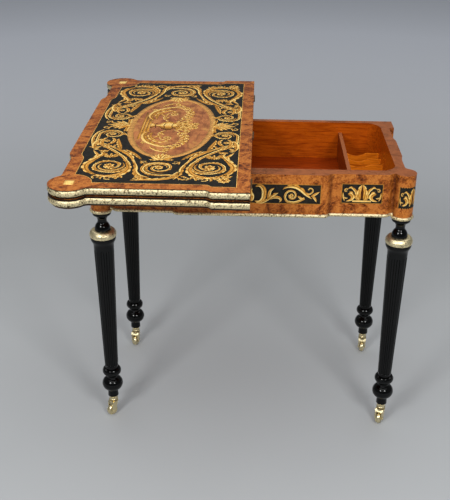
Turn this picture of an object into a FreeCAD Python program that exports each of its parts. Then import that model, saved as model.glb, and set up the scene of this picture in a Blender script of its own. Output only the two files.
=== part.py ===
"""Swivel-top card table in marquetry, with turned and fluted legs on brass casters.

Millimetres, +Z up. The origin lies on the floor under the middle of the base, the front of
the table faces -Y. The top is stored as it stands in use: turned a quarter turn on its pivot,
still folded, so that its fold line runs front to back over the middle of the base.
Each leaf is drawn in its own plan first: u runs along the fold, v runs away from it.
"""
import FreeCAD
import Part
import math
import os

# Heights
TOP_Z = 765.0
LEAF_THICK = 21.7
LEAF_GAP = 0.6
RIM_GAP = 0.6
FRIEZE_Z = 612.0
PAD_Z = 606.0
FOLD_Z = TOP_Z - LEAF_THICK - LEAF_GAP / 2
UPPER_Z = TOP_Z - LEAF_THICK
LOWER_Z = UPPER_Z - LEAF_GAP - LEAF_THICK
RIM_Z = LOWER_Z - RIM_GAP

# Leaf plan: a breakfront edge with a round ear at each free corner
SIDE_PROUD = 421.5
SIDE_RECESSED = 411.0
SIDE_STEP_START = 78.0
SIDE_STEP_LENGTH = 18.0
EAR_U = 386.0
EAR_V = 384.5
EAR_R = 46.0
EAR_FILLET = 9.0
EDGE_RECESSED = 409.0
EDGE_PROUD = 419.0
EDGE_STEP_START = 245.0
EDGE_STEP_LENGTH = 40.0
FOLD_CLEARANCE = 0.3

# Leaf build-up
LIP_THICK = 2.0
CORE_INSET = 7.0
MOULDING_TALL = 13.5
MOULDING_PROUD = 1.0
MOULDING_SHOULDER = 5.5
FIELD_INSET = 27.5
FIELD_FOLD_INSET = 29.0
FIELD_EAR_R = 47.0
FIELD_THICK = 1.5
OVAL_V = 202.0
OVAL_HALF_U = 231.0
OVAL_HALF_V = 109.0
BAIZE_THICK = 1.0
BAIZE_SINK = 0.1
BAIZE_MARGIN = 46.0
BAIZE_FOLD_MARGIN = 6.0

# Base plan
LEG_X_FRONT = 361.0
LEG_X_BACK = 347.5
LEG_Y = 174.5
COLUMN_R = 25.0
FRONT_PROUD_Y = -203.0
FRONT_RECESSED_Y = -192.0
FRONT_INNER_Y = -165.0
FRONT_STEP_START = 172.0
FRONT_STEP_LENGTH = 20.0
FRONT_RAIL_HALF = 314.0
FRONT_COVE_START = 316.0
COLUMN_CREASE_Y = -182.0
COLUMN_FILLET = 14.0
SIDE_OUTER_X = 363.0
SIDE_PROUD_X = 367.5
SIDE_MIDDLE_Y = -10.0
SIDE_FLAT_HALF = 46.0
SIDE_CYMA_LENGTH = 42.0
SIDE_INNER_X = 341.0
BACK_OUTER_Y = 203.0
BACK_INNER_Y = 186.0
BACK_BLOCK_HALF = 28.5
COVE_FRONT = (312.0, -130.0)
COVE_BACK = (311.0, 146.0)
COVE_DEPTH = 5.0
BEAD_TALL = 8.5
BEAD_PROUD = 3.2

# Frieze panels
PANEL_LOW = 646.5
PANEL_HIGH = 696.5
PANEL_THICK = 1.2
CENTRE_PANEL_HALF = 164.0
END_PANEL_FROM = 212.0
END_PANEL_TO = 309.0
COLUMN_PANEL_LOW = 638.0
COLUMN_PANEL_HIGH = 692.0
COLUMN_PANEL_FACES = -45.0
COLUMN_PANEL_SPAN = 81.5
SIDE_PANEL_HALF = 43.0

# Well
WELL_FLOOR_Z = 618.4
PARTITION_X = 233.0
PARTITION_THICK = 9.0
PARTITION_TOP_Z = 692.0
SLAT_COUNT = 7
SLAT_THICK = 4.0
SLAT_TOP_Z = 650.0
SLAT_DIP = 8.0
SLAT_DIP_AT = 40.0
SLAT_RISE_AT = 72.0

# Swivel pivot and its stop
PIVOT_X = -105.0
PIVOT_Y = 105.0
PIVOT_RAIL_HALF = 30.0
PIVOT_RAIL_THICK = 20.0
PIVOT_BOLT_R = 8.0
PIVOT_FLANGE_R = 28.0
PIVOT_FLANGE_THICK = 3.0
RUNNING_CLEARANCE = 0.05
STOP_PEG_R = 5.0
STOP_PEG_LONG = 13.0
STOP_CLEARANCE = 0.4

# Fold hinges
HINGE_AT = (-320.0, 0.0, 320.0)
HINGE_LONG = 50.0
HINGE_MIDDLE = 18.0
KNUCKLE_R = 3.0
HINGE_PIN_R = 1.5
HINGE_PLATE = 1.5
HINGE_PLATE_TALL = 13.5
HINGE_SLACK = 0.3

# Legs
TENON_R = 11.0
TENON_LONG = 40.0
FLUTE_COUNT = 12
FLUTE_TOP_Z = 500.0
FLUTE_LOW_Z = 162.0
FLUTE_TOP_R = 4.4
FLUTE_LOW_R = 3.1
SHAFT_TOP = (25.0, 511.0)
SHAFT_LOW = (17.2, 150.0)
COLLAR_SEAT_R = 19.6
COLLAR_LOW_Z = 538.0
COLLAR_HIGH_Z = 556.5
LEG_FOOT_Z = 62.0

# Casters
WHEEL_R = 14.5
WHEEL_WIDE = 14.0
AXLE_R = 2.2
CASTER_TRAIL = 7.0
CHEEK_THICK = 3.2
CHEEK_GAP = 0.6
EYE_R = 5.0
STEM_R = 4.0
STEM_TOP_Z = 59.0
SOCKET_LOW_Z = 47.0
FORK_GAP = 0.3
BOSS_R = 6.4
CROWN_R = 11.6
CROWN_HIGH_Z = 44.2
CROWN_THICK = 5.0
YOKE_R = 13.0
YOKE_HIGH_Z = 43.0
YOKE_LOW_Z = 32.0

CORNERS = {
    "front_left": (-LEG_X_FRONT, -LEG_Y, 222.0),
    "front_right": (LEG_X_FRONT, -LEG_Y, 242.0),
    "back_left": (-LEG_X_BACK, LEG_Y, 258.0),
    "back_right": (LEG_X_BACK, LEG_Y, 264.0),
}

UP = FreeCAD.Vector(0, 0, 1)
NODES = {}


def vec(x, y, z=0.0):
    return FreeCAD.Vector(x, y, z)


def polar(centre, radius, degrees):
    angle = math.radians(degrees)
    return (centre[0] + radius * math.cos(angle), centre[1] + radius * math.sin(angle))


def heading(start, end):
    return math.degrees(math.atan2(end[1] - start[1], end[0] - start[0]))


# Plans: a path is a list of straight runs and bends, smooth where they meet

def run(start, end):
    return ("run", start, end)


def bend(centre, radius, start, end):
    return ("bend", centre, radius, start, end)


def cyma(start, end, along):
    """S-shaped step of two equal bends, leaving and arriving in the direction along."""
    turned = math.radians(along)
    ahead = (math.cos(turned), math.sin(turned))
    left = (-ahead[1], ahead[0])
    delta = (end[0] - start[0], end[1] - start[1])
    length = delta[0] * ahead[0] + delta[1] * ahead[1]
    shift = delta[0] * left[0] + delta[1] * left[1]
    radius = (length ** 2 + shift ** 2) / (4 * abs(shift))
    side = math.copysign(1.0, shift)
    first = (start[0] + left[0] * radius * side, start[1] + left[1] * radius * side)
    second = (end[0] - left[0] * radius * side, end[1] - left[1] * radius * side)
    turn = side * 2 * math.degrees(math.atan2(abs(shift), length))
    from_first = along - 90.0 * side
    return [
        bend(first, radius, from_first, from_first + turn),
        bend(second, radius, from_first + turn + 180.0, from_first + 180.0),
    ]


def moved_left(path, distance):
    """The path moved to its left: runs slide over, bends keep their centres."""
    result = []
    for step in path:
        if step[0] == "run":
            angle = math.radians(heading(step[1], step[2]) + 90.0)
            shift = (distance * math.cos(angle), distance * math.sin(angle))
            result.append(run(
                (step[1][0] + shift[0], step[1][1] + shift[1]),
                (step[2][0] + shift[0], step[2][1] + shift[1]),
            ))
        else:
            turning_left = step[4] > step[3]
            radius = step[2] - distance if turning_left else step[2] + distance
            result.append(bend(step[1], radius, step[3], step[4]))
    return result


def mirrored(path):
    """The path reflected in its first axis and walked the other way."""
    result = []
    for step in reversed(path):
        if step[0] == "run":
            result.append(run((-step[2][0], step[2][1]), (-step[1][0], step[1][1])))
        else:
            result.append(bend((-step[1][0], step[1][1]), step[2], 180.0 - step[4], 180.0 - step[3]))
    return result


def path_ends(path):
    ends = []
    for step, place in ((path[0], 0), (path[-1], 1)):
        if step[0] == "run":
            ends.append(step[1 + place])
        else:
            ends.append(polar(step[1], step[2], step[3 + place]))
    return ends


def path_edges(path, z, place):
    """Edges of the path at height z, with place taking plan points to table points."""
    edges = []
    for step in path:
        if step[0] == "run":
            ends = [vec(*place(point), z) for point in step[1:3]]
            edges.append(Part.LineSegment(*ends).toShape())
        else:
            angles = (step[3], (step[3] + step[4]) / 2, step[4])
            points = [vec(*place(polar(step[1], step[2], angle)), z) for angle in angles]
            edges.append(Part.Arc(*points).toShape())
    return edges


def slab(path, low, high, place):
    """Flat plate over a closed path."""
    wire = Part.Wire(path_edges(path, low, place))
    return Part.Face(wire).extrude(UP * (high - low))


def closed(path):
    ends = path_ends(path)
    return path + [run(ends[1], ends[0])]


def block(low, high):
    return Part.makeBox(high[0] - low[0], high[1] - low[1], high[2] - low[2], vec(*low))


def rod(radius, low, high, x, y):
    return Part.makeCylinder(radius, high - low, vec(x, y, low))


def prism(points, direction):
    """Plate over a closed polygon of table points."""
    return Part.Face(Part.makePolygon(points + [points[0]])).extrude(direction)


def same(point):
    return point


def in_rest(point):
    """Leaf plan to table plan, with the top turned to the rest position."""
    return (-point[1], point[0])


def swept(path, section, z, place):
    """Strip of constant section along a path; section points are (outward, up)."""
    spine = Part.Wire(path_edges(path, z, place))
    start = spine.OrderedEdges[0]
    base = start.valueAt(start.FirstParameter)
    tangent = start.tangentAt(start.FirstParameter)
    outward = tangent.cross(UP)
    edges = []
    for piece in section:
        points = [base + outward * across + UP * rise for across, rise in piece]
        curve = Part.LineSegment(*points) if len(points) == 2 else Part.Arc(*points)
        edges.append(curve.toShape())
    return spine.makePipeShell([Part.Wire(edges)], True, False)


def half_round(proud, tall, back=0.0, shoulder=0.0):
    """Flat-backed moulding section, swelling from its back to proud."""
    swell = ((shoulder, 0.0), (proud, tall / 2), (shoulder, tall))
    flat_back = ((back, tall), (back, 0.0))
    if shoulder == back:
        return [swell, flat_back]
    return [((back, 0.0), (shoulder, 0.0)), swell, ((shoulder, tall), (back, tall)), flat_back]


# Top: two leaves

def leaf_half_edge():
    """Edge of one leaf from the fold to the middle of its free side, u positive."""
    reach = EAR_R + EAR_FILLET
    side_centre = (SIDE_RECESSED + EAR_FILLET, 0.0)
    side_drop = math.sqrt(reach ** 2 - (side_centre[0] - EAR_U) ** 2)
    side_centre = (side_centre[0], EAR_V - side_drop)
    edge_centre = (0.0, EDGE_RECESSED + EAR_FILLET)
    edge_drop = math.sqrt(reach ** 2 - (edge_centre[1] - EAR_V) ** 2)
    edge_centre = (EAR_U - edge_drop, edge_centre[1])
    ear = (EAR_U, EAR_V)
    ear_from = heading(ear, side_centre)
    ear_to = heading(ear, edge_centre)
    ear_middle = (ear_from + ear_to) / 2
    step_end = SIDE_STEP_START + SIDE_STEP_LENGTH
    edge_step_end = EDGE_STEP_START - EDGE_STEP_LENGTH
    path = [run((SIDE_PROUD, FOLD_CLEARANCE), (SIDE_PROUD, SIDE_STEP_START))]
    path += cyma((SIDE_PROUD, SIDE_STEP_START), (SIDE_RECESSED, step_end), 90.0)
    path += [
        run((SIDE_RECESSED, step_end), (SIDE_RECESSED, side_centre[1])),
        bend(side_centre, EAR_FILLET, 180.0, ear_from + 180.0),
        bend(ear, EAR_R, ear_from, ear_middle),
        bend(ear, EAR_R, ear_middle, ear_to),
        bend(edge_centre, EAR_FILLET, ear_to + 180.0, 270.0),
        run((edge_centre[0], EDGE_RECESSED), (EDGE_STEP_START, EDGE_RECESSED)),
    ]
    path += cyma((EDGE_STEP_START, EDGE_RECESSED), (edge_step_end, EDGE_PROUD), 180.0)
    path += [run((edge_step_end, EDGE_PROUD), (0.0, EDGE_PROUD))]
    return path


def leaf_edge():
    half = leaf_half_edge()
    return half + mirrored(half)


def field_outline():
    """Black ground of the top: inside the banding, hollowed round the ears."""
    side_proud = SIDE_PROUD - FIELD_INSET
    side_recessed = SIDE_RECESSED - FIELD_INSET
    edge_recessed = EDGE_RECESSED - FIELD_INSET
    edge_proud = EDGE_PROUD - FIELD_INSET
    ear = (EAR_U, EAR_V)
    side_low = EAR_V - math.sqrt(FIELD_EAR_R ** 2 - (EAR_U - side_recessed) ** 2)
    edge_near = EAR_U - math.sqrt(FIELD_EAR_R ** 2 - (EAR_V - edge_recessed) ** 2)
    step_end = SIDE_STEP_START + SIDE_STEP_LENGTH
    edge_step_end = EDGE_STEP_START - EDGE_STEP_LENGTH
    half = [
        run((0.0, FIELD_FOLD_INSET), (side_proud, FIELD_FOLD_INSET)),
        run((side_proud, FIELD_FOLD_INSET), (side_proud, SIDE_STEP_START)),
    ]
    half += cyma((side_proud, SIDE_STEP_START), (side_recessed, step_end), 90.0)
    half += [
        run((side_recessed, step_end), (side_recessed, side_low)),
        bend(ear, FIELD_EAR_R, heading(ear, (side_recessed, side_low)) + 360.0,
             heading(ear, (edge_near, edge_recessed)) + (360.0 if edge_recessed < EAR_V else 0.0)),
        run((edge_near, edge_recessed), (EDGE_STEP_START, edge_recessed)),
    ]
    half += cyma((EDGE_STEP_START, edge_recessed), (edge_step_end, edge_proud), 180.0)
    half += [run((edge_step_end, edge_proud), (0.0, edge_proud))]
    return half + mirrored(half)


def oval(low, high, place):
    """Elliptical plate, long axis along the fold."""
    centre = vec(*place((0.0, OVAL_V)), low)
    curve = Part.Ellipse(vec(0, 0, 0), OVAL_HALF_U, OVAL_HALF_V).toShape()
    plate = Part.Face(Part.Wire([curve])).extrude(UP * (high - low))
    plate.rotate(vec(0, 0, 0), UP, 90.0)
    plate.translate(centre)
    return plate


def baize_sheet(low, high):
    half = SIDE_RECESSED - BAIZE_MARGIN
    far = EDGE_RECESSED - BAIZE_MARGIN
    return block((-far, -half, low), (-BAIZE_FOLD_MARGIN, half, high))


def leaf_board(low):
    """Solid leaf: a core behind the moulding and a thin lip over it."""
    edge = leaf_edge()
    high = low + LEAF_THICK
    lip = slab(closed(edge), high - LIP_THICK, high, in_rest)
    core = slab(closed(moved_left(edge, CORE_INSET)), low, high - LIP_THICK, in_rest)
    return lip.fuse(core).removeSplitter()


def leaf_moulding(low):
    section = half_round(CORE_INSET + MOULDING_PROUD, MOULDING_TALL, 0.0, MOULDING_SHOULDER)
    path = moved_left(leaf_edge(), CORE_INSET)
    return swept(path, section, low + LEAF_THICK - LIP_THICK - MOULDING_TALL, in_rest)


def hinge_knuckles(y, lower):
    """Half of a butt hinge: the lower half holds the outer knuckles and the pin."""
    side = -1.0 if lower else 1.0
    near = FOLD_Z + side * (KNUCKLE_R + HINGE_SLACK)
    far = near + side * HINGE_PLATE_TALL
    half = HINGE_LONG / 2
    middle = HINGE_MIDDLE / 2
    left = -FOLD_CLEARANCE - HINGE_PLATE
    low = min(near, far)
    shape = block((left, y - half, low), (-FOLD_CLEARANCE, y + half, low + HINGE_PLATE_TALL))
    spans = [(-half, -middle), (middle, half)]
    if not lower:
        spans = [(-middle + HINGE_SLACK, middle - HINGE_SLACK)]
    for start, end in spans:
        base = vec(0, y + start, FOLD_Z)
        shape = shape.fuse(Part.makeCylinder(KNUCKLE_R, end - start, base, vec(0, 1, 0)))
        web_low = min(near, FOLD_Z)
        web = block((left, y + start, web_low), (-FOLD_CLEARANCE, y + end, max(near, FOLD_Z)))
        shape = shape.fuse(web)
    if lower:
        pin = Part.makeCylinder(HINGE_PIN_R, HINGE_LONG, vec(0, y - half, FOLD_Z), vec(0, 1, 0))
        shape = shape.fuse(pin)
    else:
        bore_r = HINGE_PIN_R + RUNNING_CLEARANCE
        bore = Part.makeCylinder(bore_r, HINGE_LONG, vec(0, y - half, FOLD_Z), vec(0, 1, 0))
        shape = shape.cut(bore)
    return shape.removeSplitter()


def hinge_recesses(lower):
    """Room for the hinge plates and knuckles in a fold edge."""
    cuts = []
    side = -1.0 if lower else 1.0
    reach = KNUCKLE_R + HINGE_SLACK
    far = FOLD_Z + side * (reach + HINGE_PLATE_TALL)
    for y in HINGE_AT:
        start = y - HINGE_LONG / 2
        cuts.append(Part.makeCylinder(reach, HINGE_LONG, vec(0, start, FOLD_Z), vec(0, 1, 0)))
        low = min(FOLD_Z, far)
        cuts.append(block(
            (-FOLD_CLEARANCE - HINGE_PLATE, start, low),
            (0.0, start + HINGE_LONG, max(FOLD_Z, far)),
        ))
    return cuts


def stop_peg_place():
    """The peg meets the same face of the pivot rail at both ends of a quarter turn."""
    away = PIVOT_RAIL_HALF + STOP_PEG_R + STOP_CLEARANCE
    return (PIVOT_X - away, PIVOT_Y + away)


def make_top():
    field_z = TOP_Z - FIELD_THICK
    field = slab(field_outline(), field_z, TOP_Z, in_rest)
    medallion = oval(field_z, TOP_Z, in_rest)
    upper_baize_z = UPPER_Z + BAIZE_SINK
    upper_baize = baize_sheet(upper_baize_z, upper_baize_z + BAIZE_THICK)
    upper = leaf_board(UPPER_Z).cut([field] + hinge_recesses(False))
    upper = upper.cut(baize_sheet(UPPER_Z, upper_baize_z + BAIZE_THICK))
    NODES["upper_leaf"] = upper
    NODES["upper_leaf_moulding"] = leaf_moulding(UPPER_Z)
    NODES["upper_leaf_baize"] = upper_baize
    NODES["top_marquetry_field"] = field.cut(medallion)
    NODES["top_oval_medallion"] = medallion
    NODES["upper_hinge_plates"] = Part.makeCompound([hinge_knuckles(y, False) for y in HINGE_AT])

    lower_high = LOWER_Z + LEAF_THICK
    lower_baize = baize_sheet(lower_high - BAIZE_SINK - BAIZE_THICK, lower_high - BAIZE_SINK)
    flange_high = LOWER_Z + PIVOT_FLANGE_THICK
    flange = rod(PIVOT_FLANGE_R, LOWER_Z, flange_high, PIVOT_X, PIVOT_Y)
    lower = leaf_board(LOWER_Z).cut([flange] + hinge_recesses(True))
    lower = lower.cut(baize_sheet(lower_high - BAIZE_SINK - BAIZE_THICK, lower_high))
    NODES["lower_leaf"] = lower
    NODES["lower_leaf_moulding"] = leaf_moulding(LOWER_Z)
    NODES["lower_leaf_baize"] = lower_baize
    NODES["lower_hinge_plates"] = Part.makeCompound([hinge_knuckles(y, True) for y in HINGE_AT])
    peg_x, peg_y = stop_peg_place()
    NODES["swivel_stop_peg"] = rod(STOP_PEG_R, LOWER_Z - STOP_PEG_LONG, LOWER_Z, peg_x, peg_y)
    NODES["swivel_pivot_bolt"] = pivot_bolt(flange)


def pivot_bolt(flange):
    """Flanged bolt let into the lower leaf, with its washer and nut under the pivot rail."""
    rail_low = RIM_Z - PIVOT_RAIL_THICK
    washer_high = rail_low - FORK_GAP
    washer_thick = 2.5
    nut_tall = 8.0
    nut_across = 13.0
    bolt_low = washer_high - washer_thick - nut_tall - 2.0
    shaft = rod(PIVOT_BOLT_R, bolt_low, LOWER_Z, PIVOT_X, PIVOT_Y)
    washer = rod(2 * PIVOT_BOLT_R, washer_high - washer_thick, washer_high, PIVOT_X, PIVOT_Y)
    corners = [polar((PIVOT_X, PIVOT_Y), nut_across, 60.0 * turn) for turn in range(6)]
    nut_low = washer_high - washer_thick - nut_tall
    nut = prism([vec(x, y, nut_low) for x, y in corners], UP * nut_tall)
    bolt = flange.fuse(shaft).removeSplitter()
    return Part.makeCompound([bolt, washer.cut(shaft), nut.cut(shaft)])


# Base: rails, corner blocks and well

def front_half_face():
    """Right half of the frieze front: rail, cove, column and the hollow behind the column."""
    column = (LEG_X_FRONT, -LEG_Y)
    side_x = SIDE_OUTER_X + COLUMN_FILLET
    reach = COLUMN_R + COLUMN_FILLET
    side_centre = (side_x, column[1] + math.sqrt(reach ** 2 - (side_x - column[0]) ** 2))
    crease_x = column[0] - math.sqrt(COLUMN_R ** 2 - (COLUMN_CREASE_Y - column[1]) ** 2)
    crease = (crease_x, COLUMN_CREASE_Y)
    column_from = heading(column, crease)
    column_to = heading(column, side_centre)
    step_end = FRONT_STEP_START + FRONT_STEP_LENGTH
    rail = [run((0.0, FRONT_PROUD_Y), (FRONT_STEP_START, FRONT_PROUD_Y))]
    rail += cyma((FRONT_STEP_START, FRONT_PROUD_Y), (step_end, FRONT_RECESSED_Y), 0.0)
    rail += [run((step_end, FRONT_RECESSED_Y), (FRONT_RAIL_HALF, FRONT_RECESSED_Y))]
    cove = [run((FRONT_RAIL_HALF, FRONT_RECESSED_Y), (FRONT_COVE_START, FRONT_RECESSED_Y))]
    cove += cyma((FRONT_COVE_START, FRONT_RECESSED_Y), crease, 0.0)
    round_column = [
        bend(column, COLUMN_R, column_from, -90.0),
        bend(column, COLUMN_R, -90.0, 0.0),
        bend(column, COLUMN_R, 0.0, column_to),
    ]
    hollow = [bend(side_centre, COLUMN_FILLET, column_to + 180.0, 180.0)]
    return rail, cove, round_column, hollow


def side_face(front_end, back_end):
    """Outer face of the right rail from front to back, with a shallow projecting middle."""
    flat_from = SIDE_MIDDLE_Y - SIDE_FLAT_HALF
    flat_to = SIDE_MIDDLE_Y + SIDE_FLAT_HALF
    rise_from = (SIDE_OUTER_X, flat_from - SIDE_CYMA_LENGTH)
    fall_to = (SIDE_OUTER_X, flat_to + SIDE_CYMA_LENGTH)
    path = [run((SIDE_OUTER_X, front_end), rise_from)]
    path += cyma(rise_from, (SIDE_PROUD_X, flat_from), 90.0)
    path += [run((SIDE_PROUD_X, flat_from), (SIDE_PROUD_X, flat_to))]
    path += cyma((SIDE_PROUD_X, flat_to), fall_to, 90.0)
    path += [run(fall_to, (SIDE_OUTER_X, back_end))]
    return path


def front_block(side_end):
    """Right front corner: round column outside, cove inside, bored for the leg."""
    cove_path, round_column, hollow = front_half_face()[1:]
    corner = cove_path + round_column + hollow
    start = path_ends(corner)[0]
    cove_x, cove_y = COVE_FRONT
    middle = ((cove_x + SIDE_INNER_X) / 2 + COVE_DEPTH, (cove_y + FRONT_INNER_Y) / 2 - COVE_DEPTH)
    edges = path_edges(corner, FRIEZE_Z, same)
    rest = [
        path_ends(corner)[1],
        (SIDE_INNER_X, side_end),
        (SIDE_INNER_X, cove_y),
    ]
    for first, second in zip(rest, rest[1:]):
        edges += path_edges([run(first, second)], FRIEZE_Z, same)
    cove_points = [(SIDE_INNER_X, cove_y), middle, (cove_x, FRONT_INNER_Y)]
    cove = [vec(*point, FRIEZE_Z) for point in cove_points]
    edges.append(Part.Arc(*cove).toShape())
    rail_end = (FRONT_RAIL_HALF, FRONT_INNER_Y)
    edges += path_edges([run((cove_x, FRONT_INNER_Y), rail_end)], FRIEZE_Z, same)
    edges += path_edges([run(rail_end, start)], FRIEZE_Z, same)
    shape = Part.Face(Part.Wire(edges)).extrude(UP * (RIM_Z - FRIEZE_Z))
    return on_pad(shape, LEG_X_FRONT, -LEG_Y)


def back_block():
    """Right back corner: square outside, cove inside, bored for the leg."""
    cove_x, cove_y = COVE_BACK
    outer_x = LEG_X_BACK + BACK_BLOCK_HALF
    middle = ((cove_x + SIDE_INNER_X) / 2 + COVE_DEPTH, (cove_y + BACK_INNER_Y) / 2 + COVE_DEPTH)
    corners = [
        (SIDE_INNER_X, cove_y),
        (outer_x, cove_y),
        (outer_x, BACK_OUTER_Y),
        (cove_x, BACK_OUTER_Y),
        (cove_x, BACK_INNER_Y),
    ]
    edges = []
    for first, second in zip(corners, corners[1:]):
        edges += path_edges([run(first, second)], FRIEZE_Z, same)
    cove = [vec(*corners[-1], FRIEZE_Z), vec(*middle, FRIEZE_Z), vec(*corners[0], FRIEZE_Z)]
    edges.append(Part.Arc(*cove).toShape())
    shape = Part.Face(Part.Wire(edges)).extrude(UP * (RIM_Z - FRIEZE_Z))
    return on_pad(shape, LEG_X_BACK, LEG_Y)


def on_pad(shape, x, y):
    """The corner with its round pad over the leg, bored for the tenon."""
    pad = rod(COLUMN_R, PAD_Z, FRIEZE_Z, x, y)
    return shape.fuse(pad).removeSplitter().cut(tenon_bore(x, y))


def tenon_bore(x, y):
    return rod(TENON_R + RUNNING_CLEARANCE, PAD_Z, PAD_Z + TENON_LONG + 1.0, x, y)


def to_left(shape):
    """The left-hand twin of a right-hand piece."""
    return shape.mirror(vec(0, 0, 0), vec(1, 0, 0))


def column_panel(outer_r):
    """Curved panel round the outer corner of the right column, out to outer_r."""
    column = (LEG_X_FRONT, -LEG_Y)
    inner_r = COLUMN_R - PANEL_THICK
    start = COLUMN_PANEL_FACES - COLUMN_PANEL_SPAN
    end = COLUMN_PANEL_FACES + COLUMN_PANEL_SPAN
    path = [
        bend(column, outer_r, start, end),
        run(polar(column, outer_r, end), polar(column, inner_r, end)),
        bend(column, inner_r, end, start),
        run(polar(column, inner_r, start), polar(column, outer_r, start)),
    ]
    return slab(path, COLUMN_PANEL_LOW, COLUMN_PANEL_HIGH, same)


def make_frieze():
    half, cove, round_column, hollow = front_half_face()
    side_end = path_ends(hollow)[1][1]
    back_end = COVE_BACK[1]
    face = mirrored_front(half)
    side = side_face(side_end, back_end)
    centre = block(
        (-CENTRE_PANEL_HALF, FRONT_PROUD_Y, PANEL_LOW),
        (CENTRE_PANEL_HALF, FRONT_PROUD_Y + PANEL_THICK, PANEL_HIGH),
    )
    end_panel = block(
        (END_PANEL_FROM, FRONT_RECESSED_Y, PANEL_LOW),
        (END_PANEL_TO, FRONT_RECESSED_Y + PANEL_THICK, PANEL_HIGH),
    )
    side_panel = block(
        (SIDE_PROUD_X - PANEL_THICK, SIDE_MIDDLE_Y - SIDE_PANEL_HALF, PANEL_LOW),
        (SIDE_PROUD_X, SIDE_MIDDLE_Y + SIDE_PANEL_HALF, PANEL_HIGH),
    )
    inner = [
        run((FRONT_RAIL_HALF, FRONT_RECESSED_Y), (FRONT_RAIL_HALF, FRONT_INNER_Y)),
        run((FRONT_RAIL_HALF, FRONT_INNER_Y), (-FRONT_RAIL_HALF, FRONT_INNER_Y)),
        run((-FRONT_RAIL_HALF, FRONT_INNER_Y), (-FRONT_RAIL_HALF, FRONT_RECESSED_Y)),
    ]
    rail = slab(face + inner, FRIEZE_Z, RIM_Z, same)
    NODES["front_rail"] = rail.cut([centre, end_panel, to_left(end_panel)])
    NODES["back_rail"] = block(
        (-COVE_BACK[0], BACK_INNER_Y, FRIEZE_Z), (COVE_BACK[0], BACK_OUTER_Y, RIM_Z))
    side_inner = [
        run((SIDE_OUTER_X, back_end), (SIDE_INNER_X, back_end)),
        run((SIDE_INNER_X, back_end), (SIDE_INNER_X, side_end)),
        run((SIDE_INNER_X, side_end), (SIDE_OUTER_X, side_end)),
    ]
    right_rail = slab(side + side_inner, FRIEZE_Z, RIM_Z, same)
    NODES["right_rail"] = right_rail.cut(side_panel)
    NODES["left_rail"] = to_left(NODES["right_rail"])
    curved = column_panel(COLUMN_R)
    recess = column_panel(COLUMN_R + PANEL_THICK)
    NODES["front_right_corner_block"] = front_block(side_end).cut(recess)
    NODES["front_left_corner_block"] = to_left(NODES["front_right_corner_block"])
    NODES["back_right_corner_block"] = back_block()
    NODES["back_left_corner_block"] = to_left(NODES["back_right_corner_block"])
    NODES["front_centre_panel"] = centre
    NODES["front_right_panel"] = end_panel
    NODES["front_left_panel"] = to_left(end_panel)
    NODES["right_column_panel"] = curved
    NODES["left_column_panel"] = to_left(curved)
    NODES["right_side_panel"] = side_panel
    NODES["left_side_panel"] = to_left(side_panel)
    make_beads(half + cove, round_column, hollow + side_face(side_end, back_end - BEAD_PROUD))


def mirrored_front(half):
    """Whole front from left to right out of its right half."""
    return mirrored(half) + half


def make_beads(front_path, column_path, side_path):
    """Brass bead along the foot of the frieze, lower round the column pads."""
    section = half_round(BEAD_PROUD, BEAD_TALL)

    def bead(path, z=FRIEZE_Z):
        return swept(path, section, z, same)

    column_bead = bead(column_path, PAD_Z)
    front = bead(mirrored_front(front_path)).fuse([column_bead, to_left(column_bead)])
    NODES["front_frieze_bead"] = front.removeSplitter()
    outer_x = LEG_X_BACK + BACK_BLOCK_HALF
    inner_end = path_ends(side_path)[1][1]
    back_end = inner_end + BEAD_PROUD
    side = bead(side_path).fuse([
        bead([run((SIDE_OUTER_X, inner_end), (SIDE_OUTER_X, back_end))]),
        bead([run((SIDE_OUTER_X, back_end), (outer_x, back_end))]),
        bead([run((outer_x, inner_end), (outer_x, BACK_OUTER_Y))]),
    ])
    NODES["right_frieze_bead"] = side.removeSplitter()
    NODES["left_frieze_bead"] = to_left(NODES["right_frieze_bead"])


def slat_face():
    """Scooped end view of a counter slat: x along the slat, z up."""
    left = PARTITION_X + PARTITION_THICK
    dip = (left + SLAT_DIP_AT, SLAT_TOP_Z - SLAT_DIP)
    rise = (left + SLAT_RISE_AT, SLAT_TOP_Z)
    path = [run((left, WELL_FLOOR_Z), (SIDE_INNER_X, WELL_FLOOR_Z))]
    path += [run((SIDE_INNER_X, WELL_FLOOR_Z), (SIDE_INNER_X, SLAT_TOP_Z))]
    path += [run((SIDE_INNER_X, SLAT_TOP_Z), rise)]
    path += cyma(rise, dip, 180.0)
    path += cyma(dip, (left, SLAT_TOP_Z), 180.0)
    path += [run((left, SLAT_TOP_Z), (left, WELL_FLOOR_Z))]
    return path


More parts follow.
